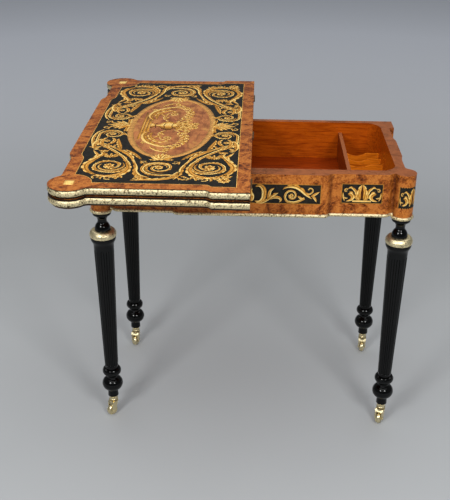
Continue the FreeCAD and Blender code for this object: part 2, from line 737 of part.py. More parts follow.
def make_well():
    corner_blocks = [NODES[name + "_corner_block"] for name in CORNERS]
    floor = block(
        (-SIDE_INNER_X, FRONT_INNER_Y, FRIEZE_Z), (SIDE_INNER_X, BACK_INNER_Y, WELL_FLOOR_Z))
    tenons = [tenon_bore(x, y) for x, y, trail in CORNERS.values()]
    NODES["well_bottom"] = floor.cut(corner_blocks + tenons)
    NODES["well_partition"] = block(
        (PARTITION_X, FRONT_INNER_Y, WELL_FLOOR_Z),
        (PARTITION_X + PARTITION_THICK, BACK_INNER_Y, PARTITION_TOP_Z),
    )
    pitch = (BACK_INNER_Y - FRONT_INNER_Y) / (SLAT_COUNT + 1)
    upright = Part.Face(Part.Wire(path_edges(slat_face(), 0.0, same)))
    slat = upright.extrude(UP * SLAT_THICK)
    slat.rotate(vec(0, 0, 0), vec(1, 0, 0), 90.0)
    for number in range(1, SLAT_COUNT + 1):
        y = FRONT_INNER_Y + pitch * number + SLAT_THICK / 2
        NODES["counter_slat_%d" % number] = slat.translated(vec(0, y, 0))
    rail = block(
        (PIVOT_X - PIVOT_RAIL_HALF, FRONT_INNER_Y, RIM_Z - PIVOT_RAIL_THICK),
        (PIVOT_X + PIVOT_RAIL_HALF, BACK_INNER_Y, RIM_Z),
    )
    hole_r = PIVOT_BOLT_R + RUNNING_CLEARANCE
    NODES["pivot_rail"] = rail.cut(rod(hole_r, RIM_Z - PIVOT_RAIL_THICK, RIM_Z, PIVOT_X, PIVOT_Y))


# Legs and casters, turned on their own axis and then set under each corner

def turned(profile):
    """Solid of revolution; a profile is runs of (radius, height), three points make a bend."""
    edges = []
    for piece in profile:
        points = [vec(radius, 0, height) for radius, height in piece]
        curve = Part.LineSegment(*points) if len(points) == 2 else Part.Arc(*points)
        edges.append(curve.toShape())
    face = Part.Face(Part.Wire(edges))
    return face.revolve(vec(0, 0, 0), UP, 360)


def leg():
    tenon_z = PAD_Z + TENON_LONG
    profile = [
        ((0, tenon_z), (TENON_R, tenon_z)),
        ((TENON_R, tenon_z), (TENON_R, PAD_Z)),
        ((TENON_R, PAD_Z), (22.0, PAD_Z)),
        ((22.0, PAD_Z), (22.9, 601.8), (21.8, 597.6)),
        ((21.8, 597.6), (14.4, 591.4), (11.2, 581.0)),
        ((11.2, 581.0), (11.6, 577.4), (13.2, 574.4)),
        ((13.2, 574.4), (17.9, 566.8), (COLLAR_SEAT_R, COLLAR_HIGH_Z)),
        ((COLLAR_SEAT_R, COLLAR_HIGH_Z), (COLLAR_SEAT_R, COLLAR_LOW_Z)),
        ((COLLAR_SEAT_R, COLLAR_LOW_Z), (30.8, COLLAR_LOW_Z)),
        ((30.8, COLLAR_LOW_Z), (31.4, 533.5), (29.2, 526.8)),
        ((29.2, 526.8), (26.3, 520.5), SHAFT_TOP),
        (SHAFT_TOP, SHAFT_LOW),
        (SHAFT_LOW, (21.5, 149.0)),
        ((21.5, 149.0), (24.6, 140.5), (20.5, 131.5)),
        ((20.5, 131.5), (14.6, 127.5), (14.0, 121.0)),
        ((14.0, 121.0), (16.5, 118.5)),
        ((16.5, 118.5), (27.3, 100.3), (14.9, 82.0)),
        ((14.9, 82.0), (13.8, 80.0), (13.4, 77.5)),
        ((13.4, 77.5), (14.0, LEG_FOOT_Z)),
        ((14.0, LEG_FOOT_Z), (0, LEG_FOOT_Z)),
        ((0, LEG_FOOT_Z), (0, tenon_z)),
    ]
    return turned(profile).cut(flutes())


def shaft_radius(z):
    share = (z - SHAFT_LOW[1]) / (SHAFT_TOP[1] - SHAFT_LOW[1])
    return SHAFT_LOW[0] + share * (SHAFT_TOP[0] - SHAFT_LOW[0])


def flutes():
    """Round-ended tapered cutters, one for each flute."""
    low = vec(shaft_radius(FLUTE_LOW_Z) + 1.0, 0, FLUTE_LOW_Z)
    high = vec(shaft_radius(FLUTE_TOP_Z) + 1.4, 0, FLUTE_TOP_Z)
    run_up = high.sub(low)
    cutter = Part.makeCone(FLUTE_LOW_R, FLUTE_TOP_R, run_up.Length, low, run_up)
    cutter = cutter.fuse([Part.makeSphere(FLUTE_LOW_R, low), Part.makeSphere(FLUTE_TOP_R, high)])
    cutters = []
    for number in range(FLUTE_COUNT):
        turned_cutter = cutter.copy()
        turned_cutter.rotate(vec(0, 0, 0), UP, number * 360.0 / FLUTE_COUNT)
        cutters.append(turned_cutter)
    return cutters


def leg_collar():
    """Gilt ring under the bulb of the leg: a full torus that slopes in to the bulb."""
    profile = [
        ((COLLAR_SEAT_R, COLLAR_LOW_Z), (30.2, COLLAR_LOW_Z)),
        ((30.2, COLLAR_LOW_Z), (31.9, 539.4), (32.6, 542.0)),
        ((32.6, 542.0), (32.9, 547.0), (30.2, 552.4)),
        ((30.2, 552.4), (26.8, 555.6), (22.6, COLLAR_HIGH_Z)),
        ((22.6, COLLAR_HIGH_Z), (COLLAR_SEAT_R, COLLAR_HIGH_Z)),
        ((COLLAR_SEAT_R, COLLAR_HIGH_Z), (COLLAR_SEAT_R, COLLAR_LOW_Z)),
    ]
    return turned(profile)


def caster_socket():
    """Brass cup under the foot, bored for the swivel stem."""
    bore = STEM_R + RUNNING_CLEARANCE
    profile = [
        ((bore, SOCKET_LOW_Z), (10.2, SOCKET_LOW_Z)),
        ((10.2, SOCKET_LOW_Z), (11.8, 49.0), (10.4, 51.2)),
        ((10.4, 51.2), (10.0, 55.4), (11.6, 59.2)),
        ((11.6, 59.2), (12.8, 60.5), (12.6, LEG_FOOT_Z)),
        ((12.6, LEG_FOOT_Z), (bore, LEG_FOOT_Z)),
        ((bore, LEG_FOOT_Z), (bore, SOCKET_LOW_Z)),
    ]
    return turned(profile)


def caster_fork():
    """Cast yoke trailing along +X, with its stem, bearing boss, round crown and riveted axle."""
    crown_low = CROWN_HIGH_Z - CROWN_THICK
    boss = rod(BOSS_R, crown_low, SOCKET_LOW_Z - FORK_GAP, 0, 0)
    crown = rod(CROWN_R, crown_low, CROWN_HIGH_Z, 0, 0)
    fork = rod(STEM_R, crown_low, STEM_TOP_Z, 0, 0).fuse([boss, crown])
    inner = WHEEL_WIDE / 2 + CHEEK_GAP
    outer = inner + CHEEK_THICK
    yoke = [
        vec(-6.5, -outer, YOKE_HIGH_Z),
        vec(8.5, -outer, YOKE_HIGH_Z),
        vec(CASTER_TRAIL + 6.0, -outer, YOKE_LOW_Z + 4.0),
        vec(CASTER_TRAIL + 4.5, -outer, YOKE_LOW_Z),
        vec(-4.0, -outer, YOKE_LOW_Z),
    ]
    plan = rod(YOKE_R, YOKE_LOW_Z, YOKE_HIGH_Z, CASTER_TRAIL / 2, 0)
    fork = fork.fuse(prism(yoke, vec(0, 2 * outer, 0)).common(plan))
    for start in (-outer, inner):
        cheek = [
            vec(-5.0, start, YOKE_HIGH_Z - 5.0),
            vec(CASTER_TRAIL + 5.0, start, YOKE_LOW_Z + 3.0),
            vec(CASTER_TRAIL + EYE_R, start, WHEEL_R),
            vec(CASTER_TRAIL - EYE_R, start, WHEEL_R),
        ]
        eye = Part.makeCylinder(EYE_R, CHEEK_THICK, vec(CASTER_TRAIL, start, WHEEL_R), vec(0, 1, 0))
        fork = fork.fuse([prism(cheek, vec(0, CHEEK_THICK, 0)), eye])
    rivet = 0.8
    axle_from = vec(CASTER_TRAIL, -outer - rivet, WHEEL_R)
    axle = Part.makeCylinder(AXLE_R, 2 * (outer + rivet), axle_from, vec(0, 1, 0))
    return fork.fuse(axle).removeSplitter()


def caster_wheel():
    """Brass roller with a crowned tread and dished sides, axis along Y through the trail."""
    half = WHEEL_WIDE / 2
    bore = AXLE_R + RUNNING_CLEARANCE
    dish = 1.4
    profile = [
        ((bore, -half), (4.8, -half)),
        ((4.8, -half), (6.2, -half + dish)),
        ((6.2, -half + dish), (11.2, -half + dish)),
        ((11.2, -half + dish), (11.9, -half + 0.4)),
        ((11.9, -half + 0.4), (WHEEL_R, 0.0), (11.9, half - 0.4)),
        ((11.9, half - 0.4), (11.2, half - dish)),
        ((11.2, half - dish), (6.2, half - dish)),
        ((6.2, half - dish), (4.8, half)),
        ((4.8, half), (bore, half)),
        ((bore, half), (bore, -half)),
    ]
    wheel = turned(profile)
    wheel.rotate(vec(0, 0, 0), vec(1, 0, 0), 90.0)
    return wheel.translated(vec(CASTER_TRAIL, 0, WHEEL_R))


def make_legs():
    parts = {
        "leg": leg(),
        "leg_collar": leg_collar(),
        "caster_socket": caster_socket(),
        "caster_fork": caster_fork(),
        "caster_wheel": caster_wheel(),
    }
    for corner, (x, y, trail_heading) in CORNERS.items():
        for name, shape in parts.items():
            placed = shape.copy()
            if name in ("caster_fork", "caster_wheel"):
                placed.rotate(vec(0, 0, 0), UP, trail_heading)
            NODES[corner + "_" + name] = placed.translated(vec(x, y, 0))


def main():
    make_top()
    make_frieze()
    make_well()
    make_legs()
    os.makedirs("parts", exist_ok=True)
    for name, shape in NODES.items():
        if not shape.isValid():
            raise ValueError("unsound solid: " + name)
        shape.exportStep("parts/" + name + ".step")
    print(len(NODES), "pieces written")


main()
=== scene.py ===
"""Card table with a swivelling fold-over top: veneers, inlay, gilt brass, baize and a plain studio."""
import math

import bmesh
import bpy
from bpy.props import FloatProperty, FloatVectorProperty, PointerProperty
from mathutils import Matrix, Vector


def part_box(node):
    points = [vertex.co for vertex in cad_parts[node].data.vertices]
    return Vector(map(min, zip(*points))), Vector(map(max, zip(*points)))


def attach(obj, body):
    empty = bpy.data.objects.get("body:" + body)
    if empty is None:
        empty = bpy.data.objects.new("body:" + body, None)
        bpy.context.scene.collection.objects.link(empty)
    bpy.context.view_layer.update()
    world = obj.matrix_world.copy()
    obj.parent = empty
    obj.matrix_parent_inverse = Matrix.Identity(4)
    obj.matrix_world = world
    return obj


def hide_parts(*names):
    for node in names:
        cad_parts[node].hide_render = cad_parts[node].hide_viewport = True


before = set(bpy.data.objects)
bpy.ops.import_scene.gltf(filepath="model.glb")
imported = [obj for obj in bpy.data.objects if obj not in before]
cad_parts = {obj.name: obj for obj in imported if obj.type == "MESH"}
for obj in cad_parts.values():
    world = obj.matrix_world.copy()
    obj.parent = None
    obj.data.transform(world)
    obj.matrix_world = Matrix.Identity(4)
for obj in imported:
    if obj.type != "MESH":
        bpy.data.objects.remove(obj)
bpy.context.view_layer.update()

bl_info = {
    "name": "Swivel card table",
    "version": (1, 0, 0),
    "blender": (4, 5, 0),
    "location": "3D View > Sidebar > Card table",
    "description": "Dresses the card table with veneers, inlay, gilt brass and baize",
    "category": "Object",
}

MM = 0.001
CORNERS = ("front_left", "front_right", "back_left", "back_right")
FRIEZE_WOOD = ["front_rail", "back_rail", "left_rail", "right_rail"]
FRIEZE_WOOD += [corner + "_corner_block" for corner in CORNERS]
PANELS = ("front_centre_panel", "front_left_panel", "front_right_panel", "left_column_panel",
          "right_column_panel", "left_side_panel", "right_side_panel")
SLATS = ["counter_slat_%d" % number for number in range(1, 8)]

FIELD_LOW, FIELD_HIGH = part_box("top_marquetry_field")
FIELD_MIDDLE = (FIELD_LOW + FIELD_HIGH) / 2
OVAL_LOW, OVAL_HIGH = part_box("top_oval_medallion")
OVAL_MIDDLE = (OVAL_LOW + OVAL_HIGH) / 2
WELL_LOW, WELL_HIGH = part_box("well_bottom")
RIM_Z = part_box("front_rail")[1].z

# Plan of a leaf: its round ears, its breaks and the dark line round its inner face, painted shade that is
# partly a dark stain
EAR_RADIUS = 0.046
EAR_STEP = 0.021
EDGE_LINE = 0.006
SIDE_BREAK = (-0.096, -0.078)
END_BREAK = (0.205, 0.245)
BREAK_PROUD = 0.010

# Creases of the front: how far each is from the middle, and how far the painted shade along it reaches
FRONT_CREASES_Y = -0.15
FRONT_CREASES = ((0.187, 0.006), (0.336, 0.010))

# Inlay: half the length from which a panel is long, heights that shapes take in turn, a browner tone
LONG_PANEL = 0.08
LAYERS = 9
BROWNER = -0.10

SHARP_ANGLE = math.radians(38.0)
ALONG_X, ALONG_Y = (14.0, 150.0, 150.0), (150.0, 14.0, 150.0)


def length(title, tells, value):
    return FloatProperty(
        name=title, description=tells, default=value, min=0.0, max=1.0, unit="LENGTH", precision=5)


def colour(title, tells, value):
    return FloatVectorProperty(
        name=title, description=tells, default=value, min=0.0, max=1.0, size=3, subtype="COLOR")


class CardTableSizes(bpy.types.PropertyGroup):
    """Sizes of the thin work that the scene adds to the solids."""

    inlay_rise: length("Inlay rise", "Height of the lowest inlay above its ground", 0.00010)
    inlay_step: length("Inlay step", "Height between inlay that overlaps", 0.00004)
    inlay_depth: length("Inlay depth", "Thickness of the inlaid veneer", 0.00025)
    string_width: length("Stringing", "Width of the light line round each black ground", 0.0013)
    oval_band: length("Oval band", "Width of the band round the medallion", 0.0150)
    ear_inlay: length("Ear inlay", "Length of the light rectangle in each ear", 0.0230)
    baize_nap: length("Baize", "Thickness of the baize", 0.0009)


class CardTableColours(bpy.types.PropertyGroup):
    """Main colours of the finishes, as linear values."""

    walnut: colour("Walnut", "Burr walnut, middle tone", (0.325, 0.084, 0.013))
    walnut_dark: colour("Walnut figure", "Dark swirls of the burr", (0.070, 0.014, 0.003))
    walnut_light: colour("Walnut light", "Light patches of the burr", (0.560, 0.190, 0.034))
    # painted shade, partly a dark stain: colour of the leaves' edges behind the mouldings and of the line
    # round their inner faces
    shade_and_stain: colour("Edge stain", "Dark edge of the leaves behind the mouldings", (0.020, 0.0090, 0.0045))
    mahogany: colour("Mahogany", "Lining of the well", (0.42, 0.076, 0.003))
    mahogany_dark: colour("Mahogany grain", "Dark grain of the lining", (0.23, 0.029, 0.001))
    rim: colour("Rim", "Cross-banded top of the base", (0.31, 0.098, 0.034))
    ground: colour("Black ground", "Ground of the marquetry", (0.011, 0.010, 0.008))
    ebonised: colour("Ebonised wood", "Turned legs", (0.0006, 0.0008, 0.0008))
    boxwood: colour("Boxwood", "Light inlay", (0.66, 0.290, 0.040))
    boxwood_light: colour("Boxwood light", "Lightest inlay", (0.97, 0.680, 0.220))
    boxwood_burnt: colour("Burnt boxwood", "Sand-burnt shading of the inlay", (0.070, 0.018, 0.004))
    medallion: colour("Medallion", "Ground of the oval", (0.460, 0.166, 0.056))
    oval_band: colour("Oval band", "Band round the medallion", (0.640, 0.310, 0.080))
    gilt: colour("Gilt brass", "Mouldings, beads and collars", (0.90, 0.770, 0.470))
    brass: colour("Caster brass", "Casters", (0.80, 0.690, 0.420))
    hinge: colour("Hinge brass", "Darkened brass of the hinges", (0.32, 0.20, 0.09))
    baize: colour("Baize", "Cloth of the playing surface", (0.020, 0.110, 0.048))
    floor: colour("Floor", "Plain studio floor", (0.46, 0.475, 0.485))
    # painted light: the floor is made paler far from the table
    far_floor_painted_light: colour("Far floor", "Paler floor far from the table", (0.78, 0.81, 0.88))


def put(tree, socket, value):
    """Links a socket to another one, or gives it a value."""
    if isinstance(value, bpy.types.NodeSocket):
        tree.links.new(value, socket)
    else:
        socket.default_value = value


def add(tree, kind, inputs=None, **settings):
    """A shader node with its settings, its values and its links."""
    node = tree.nodes.new("ShaderNode" + kind)
    for name, value in settings.items():
        setattr(node, name, value)
    for name, value in (inputs or {}).items():
        put(tree, node.inputs[name], value)
    return node


def rgba(value):
    return (value[0], value[1], value[2], 1.0)


def toned(value, share):
    """A colour made darker or lighter."""
    return tuple(min(1.0, share * part) for part in value)


def ramp(tree, factor, stops):
    node = add(tree, "ValToRGB", {"Fac": factor})
    elements = node.color_ramp.elements
    while len(elements) < len(stops):
        elements.new(0.5)
    for element, (position, value) in zip(elements, stops):
        element.position = position
        element.color = rgba(value)
    return node.outputs["Color"]


def grade(tree, factor, low, high, to_low=0.0, to_high=1.0):
    node = add(tree, "MapRange", {
        "Value": factor, "From Min": low, "From Max": high, "To Min": to_low, "To Max": to_high})
    return node.outputs["Result"]


def mixed(tree, factor, first, second):
    ends = [end if isinstance(end, bpy.types.NodeSocket) else rgba(end) for end in (first, second)]
    return add(tree, "Mix", {0: factor, 6: ends[0], 7: ends[1]}, data_type="RGBA").outputs[2]


def reckon(tree, operation, first, second):
    node = add(tree, "Math", {0: first, 1: second}, operation=operation)
    return node.outputs["Value"]


def between(tree, value, low, high):
    """1 inside the range and 0 outside it."""
    return reckon(tree, "MULTIPLY", reckon(tree, "GREATER_THAN", value, low),
                  reckon(tree, "LESS_THAN", value, high))


def object_points(tree, scale=(1.0, 1.0, 1.0)):
    points = add(tree, "TexCoord").outputs["Object"]
    return add(tree, "Mapping", {"Vector": points, "Scale": scale}).outputs["Vector"]


def split_points(tree):
    """The X, Y and Z of each point."""
    return add(tree, "SeparateXYZ", {"Vector": object_points(tree)}).outputs


def cells(tree, points, scale, randomness):
    node = add(tree, "TexVoronoi", {"Vector": points, "Scale": scale, "Randomness": randomness})
    return node.outputs["Distance"]


def noise(tree, points, scale, detail=4.0, rough=0.55, distortion=0.0):
    node = add(tree, "TexNoise", {
        "Vector": points, "Scale": scale, "Detail": detail, "Roughness": rough, "Distortion": distortion})
    return node.outputs["Fac"]


def new_finish(name):
    """A material with an empty principled shader."""
    material = bpy.data.materials.new(name)
    material.use_nodes = True
    tree = material.node_tree
    return material, tree, tree.nodes["Principled BSDF"]


def set_shader(tree, shader, **values):
    names = {"coat": "Coat Weight", "coat_rough": "Coat Roughness", "specular": "Specular IOR Level"}
    for name, value in values.items():
        put(tree, shader.inputs[names.get(name, name.replace("_", " ").title())], value)


def bumped(tree, shader, height, strength, distance):
    bump = add(tree, "Bump", {"Height": height, "Strength": strength, "Distance": distance})
    tree.links.new(bump.outputs["Normal"], shader.inputs["Normal"])


def burr_colour(tree, colours):
    """Swirled burr figure with dark eyes."""
    points = object_points(tree)
    broad = noise(tree, points, 24.0, 4.0, 0.6, 1.4)
    swirl = noise(tree, points, 80.0, 6.0, 0.66, 2.2)
    figure = reckon(tree, "ADD", reckon(tree, "MULTIPLY", broad, 0.55),
                    reckon(tree, "MULTIPLY", swirl, 0.45))
    tone = ramp(tree, figure, (
        (0.39, colours.walnut_dark), (0.48, colours.walnut),
        (0.56, colours.walnut_light), (0.64, colours.walnut)))
    spotted = grade(tree, cells(tree, points, 150.0, 1.0), 0.10, 0.26, 0.75, 0.0)
    clusters = grade(tree, noise(tree, points, 33.0, 2.0), 0.50, 0.60)
    return mixed(tree, reckon(tree, "MULTIPLY", spotted, clusters), tone, colours.walnut_dark), swirl


def polish(tree, shader, tone, height, rough=(0.24, 0.36), coat=0.03, specular=0.11):
    """French polish over wood with a little open grain."""
    smears = noise(tree, object_points(tree), 30.0, 3.0)
    set_shader(tree, shader, base_color=tone, roughness=grade(tree, smears, 0.3, 0.7, *rough),
               coat=coat, coat_rough=0.14, specular=specular)
    bumped(tree, shader, height, 0.10, 0.0006)


def leaf_walnut(colours, leaf):
    """Burr on the faces of a leaf; its edge behind the mouldings is darkened as painted shade that is
    partly a dark stain, and so is a line round its inner face.
    """
    material, tree, shader = new_finish(leaf + "_walnut")
    tone, height = burr_colour(tree, colours)
    low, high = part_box(leaf)
    skin = 0.2 * MM
    place = split_points(tree)
    edge = between(tree, place["Z"], low.z + skin, high.z - skin)
    across = reckon(tree, "ABSOLUTE", place["Y"], 0.0)
    side, end = high.y - EAR_STEP - EDGE_LINE, low.x + EAR_STEP + EDGE_LINE
    side_line = grade(tree, place["X"], *SIDE_BREAK, side, side + BREAK_PROUD)
    end_line = grade(tree, across, *END_BREAK, end - BREAK_PROUD, end)
    rim = reckon(tree, "MAXIMUM", reckon(tree, "GREATER_THAN", across, side_line),
                 reckon(tree, "LESS_THAN", place["X"], end_line))
    flat = object_points(tree, (1.0, 1.0, 0.0))
    for sign in (1.0, -1.0):
        ear = (low.x + EAR_RADIUS, sign * (high.y - EAR_RADIUS), 0.0)
        away = add(tree, "VectorMath", {0: flat, 1: ear}, operation="DISTANCE").outputs["Value"]
        rim = reckon(tree, "MULTIPLY", rim, reckon(tree, "GREATER_THAN", away, EAR_RADIUS - EDGE_LINE))
    inner = (reckon(tree, "LESS_THAN", place["Z"], low.z + skin) if leaf == "upper_leaf"
             else reckon(tree, "GREATER_THAN", place["Z"], high.z - skin))
    # painted shade, partly a dark stain: the edge between the mouldings and the line round the inner face
    # are darkened
    shade_and_stain_mask = reckon(tree, "MAXIMUM", edge, reckon(tree, "MULTIPLY", rim, inner))
    polish(tree, shader, mixed(tree, shade_and_stain_mask, tone, colours.shade_and_stain), height, specular=0.22)
    return material


def grained(tree, light, dark, stretch):
    """Straight-grained wood; stretch is largest across the grain."""
    points = object_points(tree, stretch)
    grain = noise(tree, points, 1.0, 7.0, 0.62, 0.6)
    flecks = noise(tree, object_points(tree, tuple(4.0 * value for value in stretch)), 1.0, 3.0, 0.7)
    tone = ramp(tree, grain, ((0.33, dark), (0.52, light), (0.72, toned(light, 1.25))))
    pores = grade(tree, flecks, 0.36, 0.46, 0.55, 0.0)
    return mixed(tree, pores, tone, dark), grain


def frieze_walnut(colours):
    """Burr outside, darkened in the creases as painted shade, a cross-banded rim on top and a mahogany
    lining in the well.
    """
    material, tree, shader = new_finish("frieze_walnut")
    burr, height = burr_colour(tree, colours)
    rim, _ = grained(tree, colours.rim, toned(colours.rim, 0.6), (30.0, 30.0, 30.0))
    lining, _ = grained(tree, colours.mahogany, colours.mahogany_dark, ALONG_X)
    place = split_points(tree)
    rim_skin, lining_gap, edge = 0.3 * MM, 0.2 * MM, 0.4 * MM
    on_rim = reckon(tree, "GREATER_THAN", place["Z"], RIM_Z - rim_skin)
    inside = reckon(tree, "LESS_THAN", place["Z"], RIM_Z - lining_gap)
    for axis, low, high in (("X", WELL_LOW.x, WELL_HIGH.x), ("Y", WELL_LOW.y, WELL_HIGH.y)):
        inside = reckon(tree, "MULTIPLY", inside, between(tree, place[axis], low - edge, high + edge))
    front = reckon(tree, "LESS_THAN", place["Y"], FRONT_CREASES_Y)
    across = reckon(tree, "ABSOLUTE", place["X"], 0.0)
    # painted shade: the burr is darkened along each front crease, where shade falls
    for crease, reach in FRONT_CREASES:
        off = reckon(tree, "ABSOLUTE", reckon(tree, "SUBTRACT", across, crease), 0.0)
        crease_shade = reckon(tree, "MULTIPLY", grade(tree, off, 0.0, reach, 0.65, 0.0), front)
        burr = mixed(tree, crease_shade, burr, colours.walnut_dark)
    tone = mixed(tree, inside, mixed(tree, on_rim, burr, rim), lining)
    polish(tree, shader, tone, height)
    return material


def mahogany(colours, name, stretch, painted_light_share, edge_z):
    """Mahogany of the well, scaled per part: darker on the floor and partition as painted shade, lighter on
    the slats as painted light; above edge_z the top edge takes the paler rim colour as painted light on a
    lit top.
    """
    material, tree, shader = new_finish(name)
    # painted light and shade: the part's mahogany is scaled lighter or darker for how light falls in the
    # well
    light = tuple(part * c for part, c in zip(painted_light_share, colours.mahogany))
    dark = tuple(part * c for part, c in zip(painted_light_share, colours.mahogany_dark))
    tone, height = grained(tree, light, dark, stretch)
    if edge_z is not None:
        # painted light: the top edge above edge_z takes the paler rim colour as a lit top
        lit_top = reckon(tree, "GREATER_THAN", split_points(tree)["Z"], edge_z)
        tone = mixed(tree, lit_top, tone, colours.rim)
    polish(tree, shader, tone, height, (0.34, 0.46), 0.0)
    return material


def ebonised(colours):
    """Black polish, a little brown where the wood shows through."""
    material, tree, shader = new_finish("ebonised_wood")
    points = object_points(tree, (60.0, 60.0, 9.0))
    streaks = noise(tree, points, 1.0, 5.0)
    tone = ramp(tree, streaks, ((0.40, colours.ebonised), (0.72, (0.0016, 0.0014, 0.0012))))
    set_shader(tree, shader, base_color=tone, specular=0.24,
               roughness=grade(tree, streaks, 0.3, 0.7, 0.03, 0.08))
    bumped(tree, shader, streaks, 0.05, 0.0004)
    return material


def black_ground(colours):
    material, tree, shader = new_finish("black_ground")
    grain = noise(tree, object_points(tree, (40.0, 40.0, 40.0)), 2.0, 6.0, 0.6, 0.8)
    tone = ramp(tree, grain, ((0.35, colours.ground), (0.70, toned(colours.ground, 2.4))))
    polish(tree, shader, tone, grain, coat=0.0, specular=0.07)
    return material


def medallion_ground(colours):
    material, tree, shader = new_finish("medallion_ground")
    tone, height = grained(tree, colours.medallion, toned(colours.medallion, 0.5), (70.0, 16.0, 40.0))
    patches = noise(tree, object_points(tree), 21.0, 4.0, 0.6, 1.2)
    tone = mixed(tree, grade(tree, patches, 0.50, 0.66, 0.0, 0.75), tone, (0.19, 0.048, 0.024))
    tone = mixed(tree, grade(tree, patches, 0.46, 0.34, 0.0, 0.6), tone, colours.oval_band)
    polish(tree, shader, tone, height)
    return material


def inlay_wood(colours):
    """Light wood that hot sand has browned; the shade of each point picks its tone."""
    material, tree, shader = new_finish("inlay_wood")
    shade = add(tree, "Attribute", attribute_name="shade").outputs["Fac"]
    grain = noise(tree, object_points(tree, (420.0, 160.0, 300.0)), 1.0, 4.0, 0.6)
    browned = reckon(tree, "ADD", shade, grade(tree, grain, 0.3, 0.7, -0.10, 0.10))
    tone = ramp(tree, browned, (
        (0.10, colours.boxwood_burnt), (0.42, toned(colours.boxwood, 0.45)),
        (0.70, colours.boxwood), (0.98, colours.boxwood_light)))
    polish(tree, shader, tone, grain, specular=0.07)
    return material


def band_wood(colours):
    material, tree, shader = new_finish("oval_band_wood")
    tone, height = grained(tree, colours.oval_band, toned(colours.oval_band, 0.62), (60.0, 90.0, 60.0))
    polish(tree, shader, tone, height)
    return material


def cast_brass(name, metal, dirt, depth, rough, chasing):
    """Cast brass, rubbed on the high spots and dark in the hollows; chasing is how far tool marks show."""
    material, tree, shader = new_finish(name)
    points = object_points(tree)
    chased = cells(tree, points, 260.0, 0.8)
    tarnish = noise(tree, points, 90.0, 5.0, 0.65)
    hollow = reckon(tree, "ADD", grade(tree, chased, 0.3, 0.85, 0.0, chasing),
                    grade(tree, tarnish, 0.50, 0.75, 0.0, 0.5))
    tone = ramp(tree, hollow, ((0.22, metal), (0.50, toned(metal, 0.74)), (0.88, dirt)))
    set_shader(tree, shader, base_color=tone, metallic=1.0,
               roughness=grade(tree, tarnish, 0.3, 0.7, rough, rough + 0.16))
    height = reckon(tree, "SUBTRACT", grade(tree, tarnish, 0.3, 0.7, 0.0, 0.5), chased)
    bumped(tree, shader, height, 0.5, depth)
    return material


def plain_steel():
    material, tree, shader = new_finish("pivot_steel")
    wear = noise(tree, object_points(tree), 180.0, 5.0)
    tone = ramp(tree, wear, ((0.3, (0.20, 0.19, 0.18)), (0.7, (0.46, 0.45, 0.43))))
    set_shader(tree, shader, base_color=tone, metallic=1.0,
               roughness=grade(tree, wear, 0.3, 0.7, 0.32, 0.5))
    return material


def wool_baize(colours):
    material, tree, shader = new_finish("wool_baize")
    points = object_points(tree)
    nap = noise(tree, points, 900.0, 4.0, 0.7)
    felt = noise(tree, points, 35.0, 4.0)
    tone = mixed(tree, grade(tree, felt, 0.35, 0.65), toned(colours.baize, 0.7), colours.baize)
    fibres = mixed(tree, grade(tree, nap, 0.35, 0.7, 0.0, 0.5), tone, toned(colours.baize, 1.7))
    set_shader(tree, shader, base_color=fibres, roughness=0.95, specular=0.15)
    shader.inputs["Sheen Weight"].default_value = 0.35
    bumped(tree, shader, nap, 0.5, 0.0005)
    return material


def light_inlay(colours):
    """The wood that all inlay shares, made the first time that it is asked for."""
    return bpy.data.materials.get("inlay_wood") or inlay_wood(colours)


def dress(material, nodes):
    for name in nodes:
        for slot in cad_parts[name].material_slots:
            slot.material = material


def add_piece(name, mesh, material, body, replaced=()):
    """A finished piece from a bmesh, smooth except at its sharp edges."""
    data = bpy.data.meshes.new(name)
    mesh.to_mesh(data)
    mesh.free()
    data.materials.append(material)
    data.shade_smooth()
    data.set_sharp_from_angle(angle=SHARP_ANGLE)
    piece = bpy.data.objects.new(name, data)
    bpy.context.scene.collection.objects.link(piece)
    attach(piece, body)
    if replaced:
        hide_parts(*replaced)
    return piece


def thicken(piece, name, thickness):
    """Gives a face its thickness, behind it."""
    layer = piece.modifiers.new(name, "SOLIDIFY")
    layer.thickness = thickness
    layer.offset = -1.0


def face_outwards(mesh, outward):
    mesh.normal_update()
    for face in mesh.faces:
        if face.normal.dot(outward(face.calc_center_median())) < 0:
            face.normal_flip()


def upwards(point):
    return Vector((0, 0, 1))


def heading(degrees):
    return Vector((math.cos(math.radians(degrees)), math.sin(math.radians(degrees))))


def bow(start, degrees, reach, bend, steps):
    """Points along an arc that leaves start at an angle and turns by bend degrees."""
    points = [Vector(start)]
    for step in range(steps):
        points.append(points[-1] + heading(degrees + bend * (step + 0.5) / steps) * (reach / steps))
    return points


def volute(middle, first, last, start, sweep, steps, tighten=1.25):
    """Points of a spiral from one radius to another round its middle."""
    points = []
    for step in range(steps + 1):
        share = step / steps
        radius = first + (last - first) * share ** tighten
        points.append(Vector(middle) + heading(start + sweep * share) * radius)
    return points


def flowing(points, steps):
    """A smooth line through a few points."""
    knots = [Vector(point) for point in points]
    knots = [2 * knots[0] - knots[1]] + knots + [2 * knots[-1] - knots[-2]]
    line = []
    for a, b, c, d in zip(knots, knots[1:], knots[2:], knots[3:]):
        for step in range(steps):
            t = step / steps
            line.append(0.5 * (2 * b + (c - a) * t + (2 * a - 5 * b + 4 * c - d) * t ** 2
                               + (3 * b - a - 3 * c + d) * t ** 3))
    return line + [knots[-2]]


